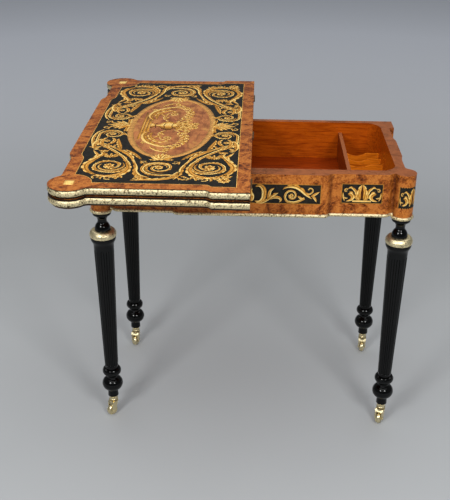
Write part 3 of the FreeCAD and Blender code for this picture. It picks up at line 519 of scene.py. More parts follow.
class Inlay:
    """Thin veneer shapes, drawn in millimetres on a face of the table, each point with a burnt shade."""

    def __init__(self, place):
        self.mesh = bmesh.new()
        self.shade = self.mesh.verts.layers.float.new("shade")
        self.place = place
        self.flip = (1.0, 1.0)
        self.laid = 0

    def lay(self, vert, spot, level):
        level += (self.laid % LAYERS) / LAYERS
        vert.co = self.place(spot[0] * self.flip[0], spot[1] * self.flip[1], level)

    def strip(self, spine, width, burn, level=0, columns=4):
        """A strip along a spine; width and burn are functions of the share along it and the side."""
        self.laid += 1
        rows = len(spine) - 1
        grid = bmesh.ops.create_grid(self.mesh, x_segments=columns, y_segments=rows, size=1.0)
        for vert in grid["verts"]:
            side = vert.co.x
            share = (vert.co.y + 1) / 2
            row = round(share * rows)
            along = (spine[min(row + 1, rows)] - spine[max(row - 1, 0)]).normalized()
            across = Vector((-along.y, along.x))
            vert[self.shade] = burn(share, side)
            self.lay(vert, spine[row] + across * (side * width(share, side)), level)

    def stem(self, spine, thick, thin, level=0):
        """A stem that thins out, with a burnt line along it."""
        def burn(t, s):
            line = 0.95 * max(0.0, 1.0 - 2.8 * abs(s))
            return 1.0 - 0.36 * max(0.0, s) - line - 0.25 * max(0.0, s - 0.7)

        self.strip(spine, lambda t, s: thick + (thin - thick) * t, burn, level, 6)

    def blade(self, points, wide, lobes=0, lobed=0.0, level=1, pale=0.0, fullest=0.45):
        """A leaf along a few points; lobes cut one edge, or both, as on an acanthus."""
        lean = math.log(0.5) / math.log(fullest)

        def notch(t):
            return math.sin(math.pi * ((lobes * t) % 1.0) ** 0.65)

        def width(t, s):
            swell = max(0.0, math.sin(math.pi * t ** lean)) ** 0.7
            cut = 0.60 + 0.40 * notch(t) if lobes and s * lobed >= 0 else 1.0
            return max(0.25, wide * swell * cut)

        def burn(t, s):
            vein = 0.90 * max(0.0, 1.0 - 2.8 * abs(s)) * (1.0 - 0.6 * t)
            cuts = 0.60 * abs(s) * (1.0 - notch(t)) if lobes and s * lobed >= 0 else 0.0
            return max(0.24, 1.0 + pale - vein - cuts - 0.36 * max(0.0, s + 0.1) - 0.30 * (1.0 - t) ** 4)

        self.strip(flowing(points, max(4, math.ceil(6 * lobes / (len(points) - 1)))), width, burn, level, 6)

    def leaf(self, base, degrees, reach, wide, bend=0.0, lobes=0, level=1, pale=0.0):
        """A blade that leaves its base at an angle and turns by bend degrees."""
        self.blade(bow(base, degrees, reach, bend, 3), wide, lobes, 0.0, level, pale, 0.40)

    def fan(self, base, degrees, spread, count, reach, wide, bend=0.0, level=1, lobes=0):
        """Leaves that spread from one point, the middle one longest."""
        half = (count - 1) / 2
        for number in range(count):
            off = (number - half) / half
            self.leaf(base, degrees + spread * off, reach * (1 - 0.28 * abs(off)), wide,
                      bend * off, lobes, level + (number % 2))

    def flower(self, middle, radius, petals, level=2):
        for number in range(petals):
            angle = number * 360.0 / petals
            start = Vector(middle) + heading(angle) * radius * 0.16
            self.leaf(start, angle, radius * 0.84, radius * 0.36, 0.0, 0, level + (number % 2))
        self.dot(middle, radius * 0.26, level + 2, 0.30)

    def dot(self, middle, radius, level, shade):
        disc = bmesh.ops.create_circle(self.mesh, cap_ends=True, segments=14, radius=radius)
        self.laid += 1
        for vert in disc["verts"]:
            vert[self.shade] = shade
            self.lay(vert, (middle[0] + vert.co.x, middle[1] + vert.co.y), level)

    def curl(self, middle, radius, start, sweep, thick):
        """A small tendril that rolls up."""
        self.stem(volute(middle, radius, radius * 0.35, start, sweep, 16), thick, thick * 0.7, 1)

    def scroll(self, lead, middle, first, last, start, sweep, thick, eye, leaves=(), level=0, tighten=1.1):
        """A stem that rolls up round a flower; each leaf has its share, turn, reach, width and bend."""
        spine = flowing(lead, 8)[:-1] + volute(middle, first, last, start, sweep, 40, tighten)
        self.stem(spine, thick, thick * 0.62, level)
        for share, off, reach, wide, bend in leaves:
            row = min(len(spine) - 2, int(share * (len(spine) - 1)))
            along = spine[row + 1] - spine[row]
            angle = math.degrees(math.atan2(along.y, along.x))
            self.leaf(spine[row], angle + off, reach, wide, bend, 3, level + 1)
        self.flower(middle, eye, 6, level + 2)

    def finish(self, name, outward, body, sizes, colours):
        """Turns every shape to face outwards and gives the veneer its thickness."""
        face_outwards(self.mesh, outward)
        piece = add_piece(name, self.mesh, light_inlay(colours), body)
        thicken(piece, "veneer", sizes.inlay_depth)


def level_height(sizes, level):
    return sizes.inlay_rise + sizes.inlay_step * level


def draw_field_quarter(work):
    """A quarter of the top: side scroll, sheath, long stem along the oval and corner scroll."""
    work.scroll([(150, 157), (130, 166), (104, 168)], (71, 137), 32, 7, 80, 520, 3.9, 8, (
        (0.36, -20, 24, 4.2, 70), (0.52, -22, 20, 4.0, 80), (0.68, -24, 16, 3.6, 90)), tighten=0.9)
    work.scroll([(140, 160), (160, 140), (192, 113), (230, 86)], (282, 112), 45, 10, -128, 560, 4.6, 13, (
        (0.46, -16, 34, 5.2, 50), (0.56, -16, 34, 5.2, 60), (0.66, -18, 30, 4.8, 70),
        (0.76, -20, 26, 4.4, 80), (0.86, -22, 20, 4.0, 90)))
    along_oval = [(138, 151), (154, 132), (186, 101), (226, 72), (268, 56), (312, 49)]
    work.stem(flowing(along_oval, 8), 3.4, 2.0, 1)
    work.blade([(248, 63), (290, 52), (326, 50), (358, 38)], 5.4, 5, 1.0, 2)
    work.blade([(168, 118), (194, 88), (226, 69), (262, 60)], 6.0, 5, -1.0, 2)
    work.blade([(254, 78), (296, 66), (330, 78), (345, 108), (336, 136)], 8.0, 7, -1.0, 1)
    work.blade([(338, 132), (316, 156), (284, 166), (252, 157), (222, 149), (186, 164)], 8.4, 7, -1.0, 2)
    work.blade([(262, 160), (238, 148), (214, 138), (198, 142)], 5.0, 4, 1.0, 3)
    work.blade([(176, 164), (152, 168), (128, 166), (106, 158)], 6.4, 5, 1.0, 2)
    work.blade([(152, 146), (132, 154), (112, 154), (96, 144)], 5.0, 4, -1.0, 3)
    work.fan((136, 156), 62, 40, 3, 15, 3.6, -20, 4, 3)
    for number, spot in enumerate(((160, 150), (170, 153), (180, 152))):
        work.leaf(spot, 60 + 18 * number, 14, 3.2, 0, 0, 2)
    work.fan((230, 116), 174, 56, 5, 26, 4.4, 24, 2, 3)
    work.fan((206, 130), 60, 46, 3, 22, 4.0, 20, 2, 3)
    work.leaf((188, 126), 100, 24, 4.2, -40, 3, 2)
    work.leaf((150, 128), 24, 24, 4.2, 50, 3, 2)
    work.leaf((146, 120), -4, 22, 3.8, 40, 3, 2)
    work.curl((354, 104), 9, -40, 320, 2.0)
    work.curl((350, 130), 9, 20, 320, 2.0)
    work.leaf((346, 118), 20, 18, 3.4, -40, 3, 2)
    work.fan((338, 82), 14, 54, 3, 24, 4.4, -20, 2, 3)
    work.blade([(150, 140), (132, 129), (113, 126), (98, 134)], 5.0, 4, -1.0, 2)
    work.leaf((60, 112), -20, 26, 4.0, -30, 3, 2)


def draw_field_end(work):
    """The scroll at each end of the oval."""
    work.scroll([(314, 46), (336, 34)], (290, 0), 48, 8, 28, -620, 4.2, 10, (
        (0.22, 16, 32, 4.8, -50), (0.34, 16, 30, 4.6, -55), (0.46, 18, 26, 4.4, -65),
        (0.58, 20, 22, 4.0, -75), (0.70, 22, 18, 3.6, -85)), tighten=0.78)
    work.blade([(312, 50), (342, 36), (356, 8), (360, -24), (366, -54)], 6.4, 8, -1.0, 2)
    work.blade([(350, -14), (340, -36), (318, -48), (288, -52)], 5.6, 5, 1.0, 2)
    work.fan((346, -32), -40, 50, 4, 24, 4.2, 20, 2, 3)
    work.curl((353, 64), 8, 200, -320, 1.8)
    work.leaf((346, 46), 30, 20, 3.8, 40, 3, 2)
    work.leaf((338, 52), 84, 16, 3.4, -40, 3, 2)
    work.curl((256, 34), 8, -60, 320, 1.6)
    work.curl((256, -36), 8, 60, -320, 1.6)
    work.leaf((268, 42), 196, 18, 3.4, -40, 3, 1)
    work.leaf((266, -44), 164, 18, 3.4, 40, 3, 1)


def draw_fill_quarter(work):
    """Browner leaves in the gaps of a quarter: in the scrolls, along the oval and by the corner."""
    work.blade(volute((282, 112), 35, 20, -128, 250, 6, 1.0), 3.6, 8, 1.0, 0, BROWNER)
    work.blade(volute((71, 137), 23, 14, 80, 200, 5, 1.0), 2.4, 5, 1.0, 0, BROWNER)
    work.blade([(240, 45), (219, 58), (198, 72), (177, 90)], 4.8, 5, -1.0, 0, BROWNER)
    work.blade([(182, 100), (156, 108), (130, 114), (102, 118)], 6.4, 5, -1.0, 0, BROWNER)
    work.flower((120, 143), 8, 6, 0)
    work.fan((186, 138), 20, 50, 3, 18, 3.6, 20, 0, 3)
    work.leaf((212, 102), 30, 24, 4.0, 40, 3, 0, BROWNER)
    work.leaf((252, 84), 200, 26, 3.8, -30, 3, 0, BROWNER)
    work.leaf((352, 84), 80, 16, 3.2, 40, 3, 0)
    work.leaf((50, 112), 176, 24, 3.6, 30, 3, 0, BROWNER)


def draw_field_fill(sizes, colours, place):
    """The browner leaves, a little lower than the scrolls."""
    work = Inlay(lambda a, b, level: place(a, b, level) - Vector((0, 0, sizes.inlay_rise / 2)))
    for flip_a in (1.0, -1.0):
        for flip_b in (1.0, -1.0):
            work.flip = (flip_a, flip_b)
            draw_fill_quarter(work)
        work.flip = (flip_a, flip_a)
        work.blade(volute((290, 0), 35, 18, 28, -298, 7, 1.0), 3.6, 9, -1.0, 0, BROWNER)
        work.flip = (flip_a, 1.0)
        work.blade([(166, 168), (134, 175), (98, 179), (62, 175), (36, 163)], 4.4, 8, 1.0, 0)
        work.fan((164, 160), 88, 30, 3, 19, 3.4, 0, 0, 3)
    work.finish("top_leaf_inlay", upwards, "upper_leaf", sizes, colours)


def draw_field(sizes, colours):
    """Scrolls of the top: four quarters, two ends, palmettes on the axes, flowers in the square corners."""
    middle = OVAL_MIDDLE.x - 2 * MM

    def place(a, b, level):
        return Vector((middle - b * MM, FIELD_MIDDLE.y + a * MM, FIELD_HIGH.z + level_height(sizes, level)))

    work = Inlay(place)
    for flip_a in (1.0, -1.0):
        for flip_b in (1.0, -1.0):
            work.flip = (flip_a, flip_b)
            draw_field_quarter(work)
        work.flip = (flip_a, flip_a)
        draw_field_end(work)
        work.flip = (flip_a, 1.0)
        work.flower((357, -146), 15, 8)
        work.flower((343, -130), 9, 6)
        work.fan((346, -152), 176, 34, 4, 26, 4.2, 20, 1, 3)
        work.fan((240, 0), 180, 66, 9, 42, 5.4, -16, 4)
        work.dot((238, 0), 6, 7, 0.8)
        work.leaf((238, 4), 58, 26, 4.6, 60, 3, 3)
        work.leaf((238, -4), -58, 26, 4.6, -60, 3, 3)
    for flip_b in (1.0, -1.0):
        work.flip = (1.0, flip_b)
        work.fan((0, 108), 90, 46, 7, 54, 5.6, 22, 4)
        work.dot((0, 109), 7, 7, 0.8)
        for flip_a in (1.0, -1.0):
            work.flip = (flip_a, flip_b)
            work.leaf((2, 107), 8, 48, 6.0, -18, 4, 3)
            work.leaf((2, 112), 34, 34, 5.0, 40, 3, 3)
            work.curl((22, 160), 8, 190, -320, 1.8)
            work.leaf((14, 150), 40, 20, 3.6, -50, 3, 2)
    work.finish("top_scroll_inlay", upwards, "upper_leaf", sizes, colours)
    draw_field_fill(sizes, colours, place)


def draw_medallion(sizes, colours):
    """An urn of flowers on a plinth, between swags of flowers and broad leafy sprays."""
    def place(a, b, level):
        rise = level_height(sizes, level)
        return Vector((OVAL_MIDDLE.x + b * MM, OVAL_MIDDLE.y + a * MM, OVAL_HIGH.z + rise))

    work = Inlay(place)
    urn = ((0.0, 20), (0.06, 20), (0.10, 11), (0.22, 6), (0.30, 10), (0.45, 28),
           (0.62, 35), (0.74, 32), (0.84, 20), (0.92, 26), (1.0, 30))

    def urn_width(t, s):
        for (low, first), (high, second) in zip(urn, urn[1:]):
            if t <= high:
                share = (t - low) / (high - low)
                return first + (second - first) * (3 * share ** 2 - 2 * share ** 3)
        return urn[-1][1]

    def rounded(t, s):
        return 0.95 - 0.65 * abs(s + 0.25) ** 1.5

    work.strip(flowing([(0, -54), (0, 16)], 40), urn_width, rounded, 2, 8)
    for b in (-40, -18, 2):
        work.strip(flowing([(-18, b), (0, b - 3), (18, b)], 6), lambda t, s: 1.1, lambda t, s: 0.1, 3, 1)
    for low, high, half in ((-62, -55, 46), (-70, -63, 70), (-76, -71, 104)):
        work.strip(flowing([(0, low), (0, high)], 2), lambda t, s: half,
                   lambda t, s: 0.5 + 0.4 * t - 0.2 * abs(s), 1)
    work.fan((0, 14), 90, 84, 11, 52, 7.0, 10, 3, 4)
    for spot, radius in (((0, 36), 14), ((-26, 30), 12), ((26, 30), 12), ((-13, 56), 11), ((14, 57), 11),
                         ((-42, 40), 9), ((42, 40), 9)):
        work.flower(spot, radius, 7, 6)
    for side in (1.0, -1.0):
        work.flip = (side, 1.0)
        work.blade([(40, -50), (72, -62), (108, -54), (134, -34), (150, -8), (142, 14)], 8.6, 8, 1.0, 2)
        work.blade([(52, -44), (82, -48), (108, -36), (122, -16), (112, 0)], 6.4, 6, -1.0, 3)
        work.scroll([(36, -14), (60, -28), (82, -22)], (92, -6), 15, 4, -105, 430, 2.4, 7, (
            (0.10, 45, 20, 5, 40), (0.26, -45, 20, 5, -40), (0.46, -45, 16, 4.5, -40)), 1)
        work.stem(flowing([(30, 8), (58, 30), (92, 40), (128, 34), (164, 14), (184, -6)], 6), 1.8, 0.9, 1)
        sprigs = ((50, 25), (66, 34), (84, 39), (102, 40), (120, 37), (138, 30), (154, 21), (170, 9))
        for number, spot in enumerate(sprigs):
            work.leaf(spot, 74 - 16 * number, 20, 4.6, -20, 0, 2)
            work.leaf(spot, -26 - 14 * number, 18, 4.2, 20, 0, 3)
        for spot, radius in (((74, 36), 9), ((110, 38), 10), ((146, 26), 9), ((178, 0), 8)):
            work.flower(spot, radius, 6, 5)
        work.blade([(150, -40), (168, -30), (182, -14), (192, 6)], 4.6, 4, 1.0, 2)
        work.flower((128, -58), 7, 5, 4)
    work.finish("medallion_inlay", upwards, "upper_leaf", sizes, colours)


def draw_long_panel(work, half):
    """Crescents by the middle, a spray of leaves, and a scroll under one long leaf to each end."""
    drawn_half = 164.0
    stretch = half / drawn_half
    work.leaf((0, -21), 90, 42, 5.0, 0, 3, 2)
    for side in (1.0, -1.0):
        work.flip = (side * stretch, 1.0)
        work.leaf((1, -20), 62, 24, 3.6, 50, 0, 1)
        work.blade([(10, 18), (21, 20.5), (30, 12), (31.5, -2), (28.5, -14), (20, -21), (9, -19)],
                   5.6, 0, 0.0, 1)
        work.stem(flowing([(14, -21), (26, -22), (37, -17), (44, -12)], 6), 3.0, 2.6)
        work.blade([(40, -16), (43, -4), (46, 7), (55, 15)], 3.6, 0, 0.0, 2)
        work.blade([(41, -15), (49, -6), (57, -1), (65, 3)], 3.6, 2, 1.0, 3)
        work.blade([(41, -15), (54, -9), (66, -9), (72, -15), (69, -21)], 3.6, 0, 0.0, 2)
        work.scroll([(128, -10), (114, -18), (100, -21.5)], (97, -4), 18, 5, -122, -440, 2.8, 5.5,
                    tighten=0.8)
        work.blade([(75, 11), (84, 18), (96, 20.5), (109, 18.5), (121, 11), (132, 0), (146, -11)],
                   5.6, 5, 1.0, 2, fullest=0.55)
        tendril = [(126, 5), (138, 1), (146, 6), (146, 13), (140, 15.5), (136.5, 11)]
        work.stem(flowing(tendril, 6), 1.9, 1.3, 1)
        work.blade([(143, -5), (152, 0), (163, 7)], 2.8, 0, 0.0, 2)
        work.blade([(146, -4), (152, -9), (157, -19)], 3.0, 0, 0.0, 3)
        work.leaf((112, -4), -50, 16, 2.6, 50, 0, 1)


def draw_short_panel(work, half):
    """A palmette round a dark bud, between two curled leaves on a bar."""
    drawn_half = 48.5
    stretch = half / drawn_half
    work.strip(flowing([(-22, -19), (22, -19)], 3), lambda t, s: 2.0, lambda t, s: 0.9, 3)
    for side in (1.0, -1.0):
        work.flip = (side * stretch, 1.0)
        work.blade([(5, -18), (7, -8), (8, 4), (5.5, 14), (1, 23)], 5.4, 3, -1.0, 2)
        work.blade([(9, -18), (12, -8), (14, 3), (18.5, 12)], 4.6, 2, -1.0, 1)
        work.blade([(9, -15), (14, 2), (20, 11), (27, 16), (35, 13)], 3.0, 3, 1.0, 1)
        work.blade([(12, -15), (19, -5), (25, 3), (31, 5)], 2.6, 2, 1.0, 2)
        work.curl((39, 8), 4.6, 150, -320, 1.5)
        work.blade([(34, -1), (26, -2), (22, -8.5), (26, -15.5), (38, -19.5)], 4.6, 0, 0.0, 2, 0.0, 0.35)
        work.blade([(46, 3), (45.5, -8), (41, -19)], 1.9, 0, 0.0, 2)
        work.blade([(44, -8), (39, -12), (34, -11)], 1.5, 0, 0.0, 2)
    work.flip = (stretch, 1.0)
    work.strip(flowing([(0, -17), (0, 17)], 14), lambda t, s: 3.0 * math.sin(math.pi * t) ** 0.8 + 0.2,
               lambda t, s: -0.6, 4)


def panel_face(name):
    """Where the drawing of a black panel lies, which way it faces and half its length."""
    low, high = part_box(name)
    middle = (low + high) / 2
    sign = 1.0 if name.startswith("right") else -1.0
    if name.startswith("front"):
        return (lambda a, b, rise: Vector((middle.x + a, low.y - rise, middle.z + b)),
                lambda point: Vector((0, -1, 0)), (high.x - low.x) / 2)
    if "side" in name:
        outer = high.x if sign > 0 else low.x
        return (lambda a, b, rise: Vector((outer + sign * rise, middle.y + sign * a, middle.z + b)),
                lambda point: Vector((sign, 0, 0)), (high.y - low.y) / 2)
    leg_low, leg_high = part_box("front_" + name.split("_")[0] + "_leg")
    axis = (leg_low + leg_high) / 2
    radius = axis.y - low.y
    inner_edge = axis.x - low.x if sign > 0 else high.x - axis.x
    span = math.acos(-inner_edge / radius) - math.pi / 4

    def face(a, b, rise):
        out = heading(45.0 * sign - 90.0 + math.degrees(a / radius)) * (radius + rise)
        return Vector((axis.x + out.x, axis.y + out.y, middle.z + b))

    return face, lambda point: Vector((point.x - axis.x, point.y - axis.y, 0)), radius * span


def line_frame(work, half_a, half_b, wide):
    """Light line round a panel, mitred at its corners."""
    inset = wide / 2
    steps = 12
    corners = [(-half_a, -half_b), (half_a, -half_b), (half_a, half_b), (-half_a, half_b)]
    for (a, b), (c, d) in zip(corners, corners[1:] + corners[:1]):
        start = Vector((a - math.copysign(inset, a), b - math.copysign(inset, b)))
        end = Vector((c - math.copysign(inset, c), d - math.copysign(inset, d)))
        way = (end - start).normalized() * inset
        spine = [(start - way).lerp(end + way, step / steps) for step in range(steps + 1)]
        work.strip(spine, lambda t, s: inset, lambda t, s: 0.58, 0, 1)


class CARDTABLE_OT_woods(bpy.types.Operator):
    """Gives the boards, rails, legs and linings their woods"""

    bl_idname = "card_table.woods"
    bl_label = "Woods"

    def execute(self, context):
        colours = context.scene.card_table_colours
        dress(frieze_walnut(colours), FRIEZE_WOOD)
        for leaf in ("upper_leaf", "lower_leaf"):
            dress(leaf_walnut(colours, leaf), [leaf])
        # painted light: above this height the partition's top edge is paler
        lit_top_depth = 0.3 * MM
        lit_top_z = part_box("well_partition")[1].z - lit_top_depth
        # painted shade darkens the floor and partition and painted light lightens the slats; the cross rail
        # keeps its plain tone
        for nodes, name, stretch, painted_light_share, edge_z in (
                (["well_bottom", "swivel_stop_peg"], "mahogany_floor_painted_shade", ALONG_X, (0.60, 0.42, 0.40), None),
                (SLATS, "mahogany_slats_painted_light", ALONG_X, (2.00, 3.10, 3.40), None),
                (["well_partition"], "mahogany_partition_painted_shade", ALONG_Y, (0.50, 0.42, 0.50), lit_top_z),
                (["pivot_rail"], "mahogany_cross", ALONG_Y, (1.0, 1.0, 1.0), None)):
            dress(mahogany(colours, name, stretch, painted_light_share, edge_z), nodes)
        dress(ebonised(colours), [corner + "_leg" for corner in CORNERS])
        dress(black_ground(colours), ("top_marquetry_field",) + PANELS)
        dress(medallion_ground(colours), ["top_oval_medallion"])
        return {"FINISHED"}


class CARDTABLE_OT_metalwork(bpy.types.Operator):
    """Gilds the mouldings, beads and collars and finishes the casters, hinges and pivot"""

    bl_idname = "card_table.metalwork"
    bl_label = "Metalwork"

    def execute(self, context):
        colours = context.scene.card_table_colours
        trims = ["upper_leaf_moulding", "lower_leaf_moulding"]
        trims += [side + "_frieze_bead" for side in ("front", "left", "right")]
        collars = [corner + "_leg_collar" for corner in CORNERS]
        casters = [corner + "_caster_" + piece
                   for corner in CORNERS for piece in ("socket", "fork", "wheel")]
        hinges = ["upper_hinge_plates", "lower_hinge_plates"]
        for nodes, name, metal, dirt, depth, rough, chasing in (
                (trims, "gilt_brass", colours.gilt, (0.12, 0.070, 0.028), 0.80 * MM, 0.49, 0.78),
                (collars, "collar_brass", colours.gilt, (0.16, 0.080, 0.022), 0.30 * MM, 0.36, 0.55),
                (casters, "caster_brass", colours.brass, (0.34, 0.230, 0.100), 0.02 * MM, 0.24, 0.0),
                (hinges, "aged_brass", colours.hinge, (0.08, 0.045, 0.018), 0.02 * MM, 0.34, 0.0)):
            dress(cast_brass(name, metal, dirt, depth, rough, chasing), nodes)
        dress(plain_steel(), ["swivel_pivot_bolt"])
        return {"FINISHED"}


class CARDTABLE_OT_top_inlay(bpy.types.Operator):
    """Lays the scrolls, the urn, the light line, the oval band and the ear rectangles on the top"""

    bl_idname = "card_table.top_inlay"
    bl_label = "Top inlay"

    def execute(self, context):
        sizes = context.scene.card_table_sizes
        colours = context.scene.card_table_colours
        draw_field(sizes, colours)
        draw_medallion(sizes, colours)
        self.add_field_line(sizes, colours)
        self.add_oval_band(sizes, colours)
        self.add_ear_inlay(sizes, colours)
        return {"FINISHED"}

    def add_field_line(self, sizes, colours):
        """The light line round the black field, inset from the outline of its solid."""
        hair, tone, lift = 0.01 * MM, 0.80, 0.25
        reach = 0.55 * (OVAL_HIGH - OVAL_LOW)

        def past_oval(face):
            off = face.calc_center_median() - OVAL_MIDDLE
            return (off.x / reach.x) ** 2 + (off.y / reach.y) ** 2 > 1.0

        mesh = bmesh.new()
        mesh.from_mesh(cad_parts["top_marquetry_field"].data)
        bmesh.ops.remove_doubles(mesh, verts=mesh.verts[:], dist=hair / 2)
        below = [face for face in mesh.faces if face.calc_center_median().z < FIELD_HIGH.z - hair]
        bmesh.ops.delete(mesh, geom=below, context="FACES")
        inset = bmesh.ops.inset_region(
            mesh, faces=mesh.faces[:], thickness=sizes.string_width,
            use_boundary=True, use_even_offset=True)
        line = {face for face in inset["faces"] if past_oval(face)}
        bmesh.ops.delete(mesh, geom=[face for face in mesh.faces if face not in line], context="FACES")
        shade = mesh.verts.layers.float.new("shade")
        for vert in mesh.verts:
            vert[shade] = tone
            vert.co.z = FIELD_HIGH.z + sizes.inlay_rise * lift
        piece = add_piece("field_line_inlay", mesh, light_inlay(colours), "upper_leaf")
        thicken(piece, "veneer", sizes.inlay_depth)

    def add_oval_band(self, sizes, colours):
        """The light band round the medallion."""
        mesh = bmesh.new()
        half = (OVAL_HIGH - OVAL_LOW) / 2
        lift = 0.6
        spot = Matrix.Translation((OVAL_MIDDLE.x, OVAL_MIDDLE.y, OVAL_HIGH.z + sizes.inlay_rise * lift))
        rims = []
        for inset in (0.0, sizes.oval_band):
            stretch = Matrix.Diagonal((half.x - inset, half.y - inset, 1.0, 1.0))
            rim = bmesh.ops.create_circle(mesh, segments=160, radius=1.0, matrix=spot @ stretch)
            rims += list({edge for vert in rim["verts"] for edge in vert.link_edges})
        bmesh.ops.bridge_loops(mesh, edges=rims)
        face_outwards(mesh, upwards)
        band = add_piece("oval_band", mesh, band_wood(colours), "upper_leaf")
        thicken(band, "veneer", sizes.inlay_depth)

    def add_ear_inlay(self, sizes, colours):
        """A light rectangle in each ear."""
        leaf_low, leaf_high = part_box("upper_leaf")

        def place(a, b, level):
            rise = level_height(sizes, level)
            return Vector((leaf_low.x + EAR_RADIUS + b * MM, a * MM, leaf_high.z + rise))

        work = Inlay(place)
        half = sizes.ear_inlay / 2 / MM
        steps = 8
        for side in (1.0, -1.0):
            middle = side * (leaf_high.y - EAR_RADIUS) / MM
            spine = [Vector((middle + half * (2 * step / steps - 1), 0.0)) for step in range(steps + 1)]
            work.strip(spine, lambda t, s: half * 0.9, lambda t, s: 0.98 - 0.10 * abs(s), 0)
        work.finish("ear_inlay", upwards, "upper_leaf", sizes, colours)


class CARDTABLE_OT_frieze_inlay(bpy.types.Operator):
    """Lays the scrolls and the light lines on the black panels of the frieze"""

    bl_idname = "card_table.frieze_inlay"
    bl_label = "Frieze inlay"

    def execute(self, context):
        sizes = context.scene.card_table_sizes
        colours = context.scene.card_table_colours
        long_margin, short_margin = 3.0, 1.5
        for name in PANELS:
            low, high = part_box(name)
            half_height = (high.z - low.z) / 2 / MM
            face, outward, half = panel_face(name)
            work = Inlay(lambda a, b, level: face(a * MM, b * MM, level_height(sizes, level)))
            line_frame(work, half / MM, half_height, sizes.string_width / MM)
            if half > LONG_PANEL:
                draw_long_panel(work, half / MM - long_margin)
            else:
                draw_short_panel(work, half / MM - short_margin)
            work.finish(name.replace("panel", "inlay"), outward, "frame", sizes, colours)
        return {"FINISHED"}


class CARDTABLE_OT_baize(bpy.types.Operator):
    """Lays the baize on the inner faces of both leaves"""

    bl_idname = "card_table.baize"
    bl_label = "Baize"

    def execute(self, context):
        sizes = context.scene.card_table_sizes
        cloth = wool_baize(context.scene.card_table_colours)
        for leaf, up in (("lower_leaf", 1.0), ("upper_leaf", -1.0)):
            node = leaf + "_baize"
            low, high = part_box(node)
            middle = (low + high) / 2
            back = low.z if up > 0 else high.z
            mesh = bmesh.new()
            spread = Matrix.Diagonal(((high.x - low.x) / 2, (high.y - low.y) / 2, 1.0, 1.0))
            spot = Matrix.Translation((middle.x, middle.y, back + up * sizes.baize_nap))
            bmesh.ops.create_grid(mesh, x_segments=36, y_segments=72, size=1.0, matrix=spot @ spread)
            if up < 0:
                bmesh.ops.reverse_faces(mesh, faces=mesh.faces[:])
            sheet = add_piece(leaf + "_baize_sheet", mesh, cloth, leaf, [node])
            thicken(sheet, "nap", sizes.baize_nap)
        return {"FINISHED"}


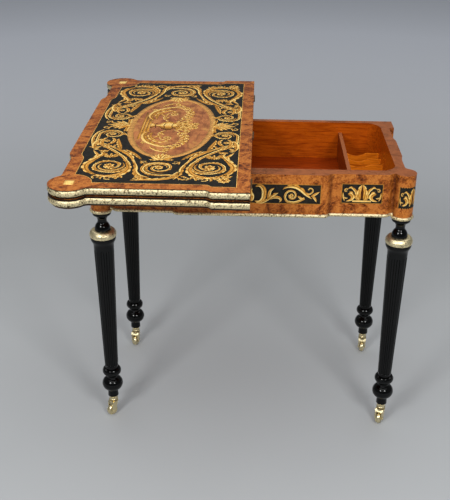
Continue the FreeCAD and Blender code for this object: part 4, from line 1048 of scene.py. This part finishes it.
class CARDTABLE_OT_stage(bpy.types.Operator):
    """Sets the floor, the soft lamps, the world light and the camera"""

    bl_idname = "card_table.stage"
    bl_label = "Stage"

    def execute(self, context):
        scene = context.scene
        self.add_floor(scene)
        self.add_lamp(scene, "left_softbox", (-1.15, -2.1, 2.0), 0.60, 29.0)
        self.add_lamp(scene, "right_softbox", (1.05, -2.1, 2.0), 0.60, 26.0)
        self.add_lamp(scene, "front_panel", (0.0, -3.0, 3.8), 3.4, 22.0)
        self.add_lamp(scene, "overhead", (0.0, 0.4, 4.6), 6.5, 138.0)
        self.add_world(scene)
        self.add_camera(scene)
        scene.view_settings.view_transform = "Standard"
        return {"FINISHED"}

    def add_floor(self, scene):
        mesh = bmesh.new()
        bmesh.ops.create_grid(mesh, x_segments=1, y_segments=1, size=30.0)
        data = bpy.data.meshes.new("studio_floor")
        mesh.to_mesh(data)
        mesh.free()
        data.materials.append(self.floor_paint(scene.card_table_colours))
        floor = bpy.data.objects.new("studio_floor", data)
        scene.collection.objects.link(floor)

    def floor_paint(self, colours):
        material, tree, shader = new_finish("studio_floor")
        clouds = noise(tree, object_points(tree), 1.2, 3.0)
        near = ramp(tree, clouds, ((0.3, toned(colours.floor, 0.96)), (0.7, colours.floor)))
        away = add(tree, "VectorMath", {0: object_points(tree)}, operation="LENGTH").outputs["Value"]
        # painted light: the floor is mixed towards the paler far colour with distance from the table
        tone = mixed(tree, grade(tree, away, 1.3, 4.6), near, colours.far_floor_painted_light)
        set_shader(tree, shader, base_color=tone, roughness=0.75, specular=0.1)
        return material

    def add_lamp(self, scene, name, spot, size, watts):
        lamp = bpy.data.lights.new(name, "AREA")
        lamp.size = size
        lamp.energy = watts
        holder = bpy.data.objects.new(name, lamp)
        holder.location = spot
        target = Vector((0.0, 0.0, 0.55))
        holder.rotation_euler = (target - Vector(spot)).to_track_quat("-Z", "Y").to_euler()
        scene.collection.objects.link(holder)

    def add_world(self, scene):
        world = bpy.data.worlds.new("studio")
        world.use_nodes = True
        sky = world.node_tree.nodes["Background"].inputs
        sky["Color"].default_value = (0.92, 0.96, 1.0, 1.0)
        sky["Strength"].default_value = 0.18
        scene.world = world

    def add_camera(self, scene):
        """The photograph's own place, found from the legs and the outline of the top."""
        camera = bpy.data.cameras.new("photo_camera")
        camera.lens = 61.19
        camera.sensor_width = 36.0
        camera.clip_end = 100.0
        holder = bpy.data.objects.new("photo_camera", camera)
        spot, turn, dip, roll = (0.01035, -2.0410, 1.45115), 0.0382, 0.4681, 0.0064
        aim = Matrix.Rotation(turn, 4, "Z") @ Matrix.Rotation(math.pi / 2 - dip, 4, "X")
        holder.matrix_world = Matrix.Translation(spot) @ aim @ Matrix.Rotation(roll, 4, "Z")
        scene.collection.objects.link(holder)
        scene.camera = holder


class CARDTABLE_PT_panel(bpy.types.Panel):
    """Lists the table's operators, sizes and colours"""

    bl_idname = "CARDTABLE_PT_panel"
    bl_label = "Card table"
    bl_space_type = "VIEW_3D"
    bl_region_type = "UI"
    bl_category = "Card table"

    def draw(self, context):
        for step in STEPS:
            self.layout.operator(step.bl_idname)
        for group in (context.scene.card_table_sizes, context.scene.card_table_colours):
            column = self.layout.column()
            for name in group.bl_rna.properties.keys():
                if name not in ("rna_type", "name"):
                    column.prop(group, name)


STEPS = (CARDTABLE_OT_woods, CARDTABLE_OT_metalwork, CARDTABLE_OT_top_inlay, CARDTABLE_OT_frieze_inlay,
         CARDTABLE_OT_baize, CARDTABLE_OT_stage)
CLASSES = (CardTableSizes, CardTableColours) + STEPS + (CARDTABLE_PT_panel,)


def register():
    for item in CLASSES:
        bpy.utils.register_class(item)
    bpy.types.Scene.card_table_sizes = PointerProperty(type=CardTableSizes)
    bpy.types.Scene.card_table_colours = PointerProperty(type=CardTableColours)


def unregister():
    del bpy.types.Scene.card_table_colours
    del bpy.types.Scene.card_table_sizes
    for item in reversed(CLASSES):
        bpy.utils.unregister_class(item)


def main():
    register()
    bpy.ops.card_table.woods()
    bpy.ops.card_table.metalwork()
    bpy.ops.card_table.top_inlay()
    bpy.ops.card_table.frieze_inlay()
    bpy.ops.card_table.baize()
    bpy.ops.card_table.stage()


if __name__ == "__main__":
    main()
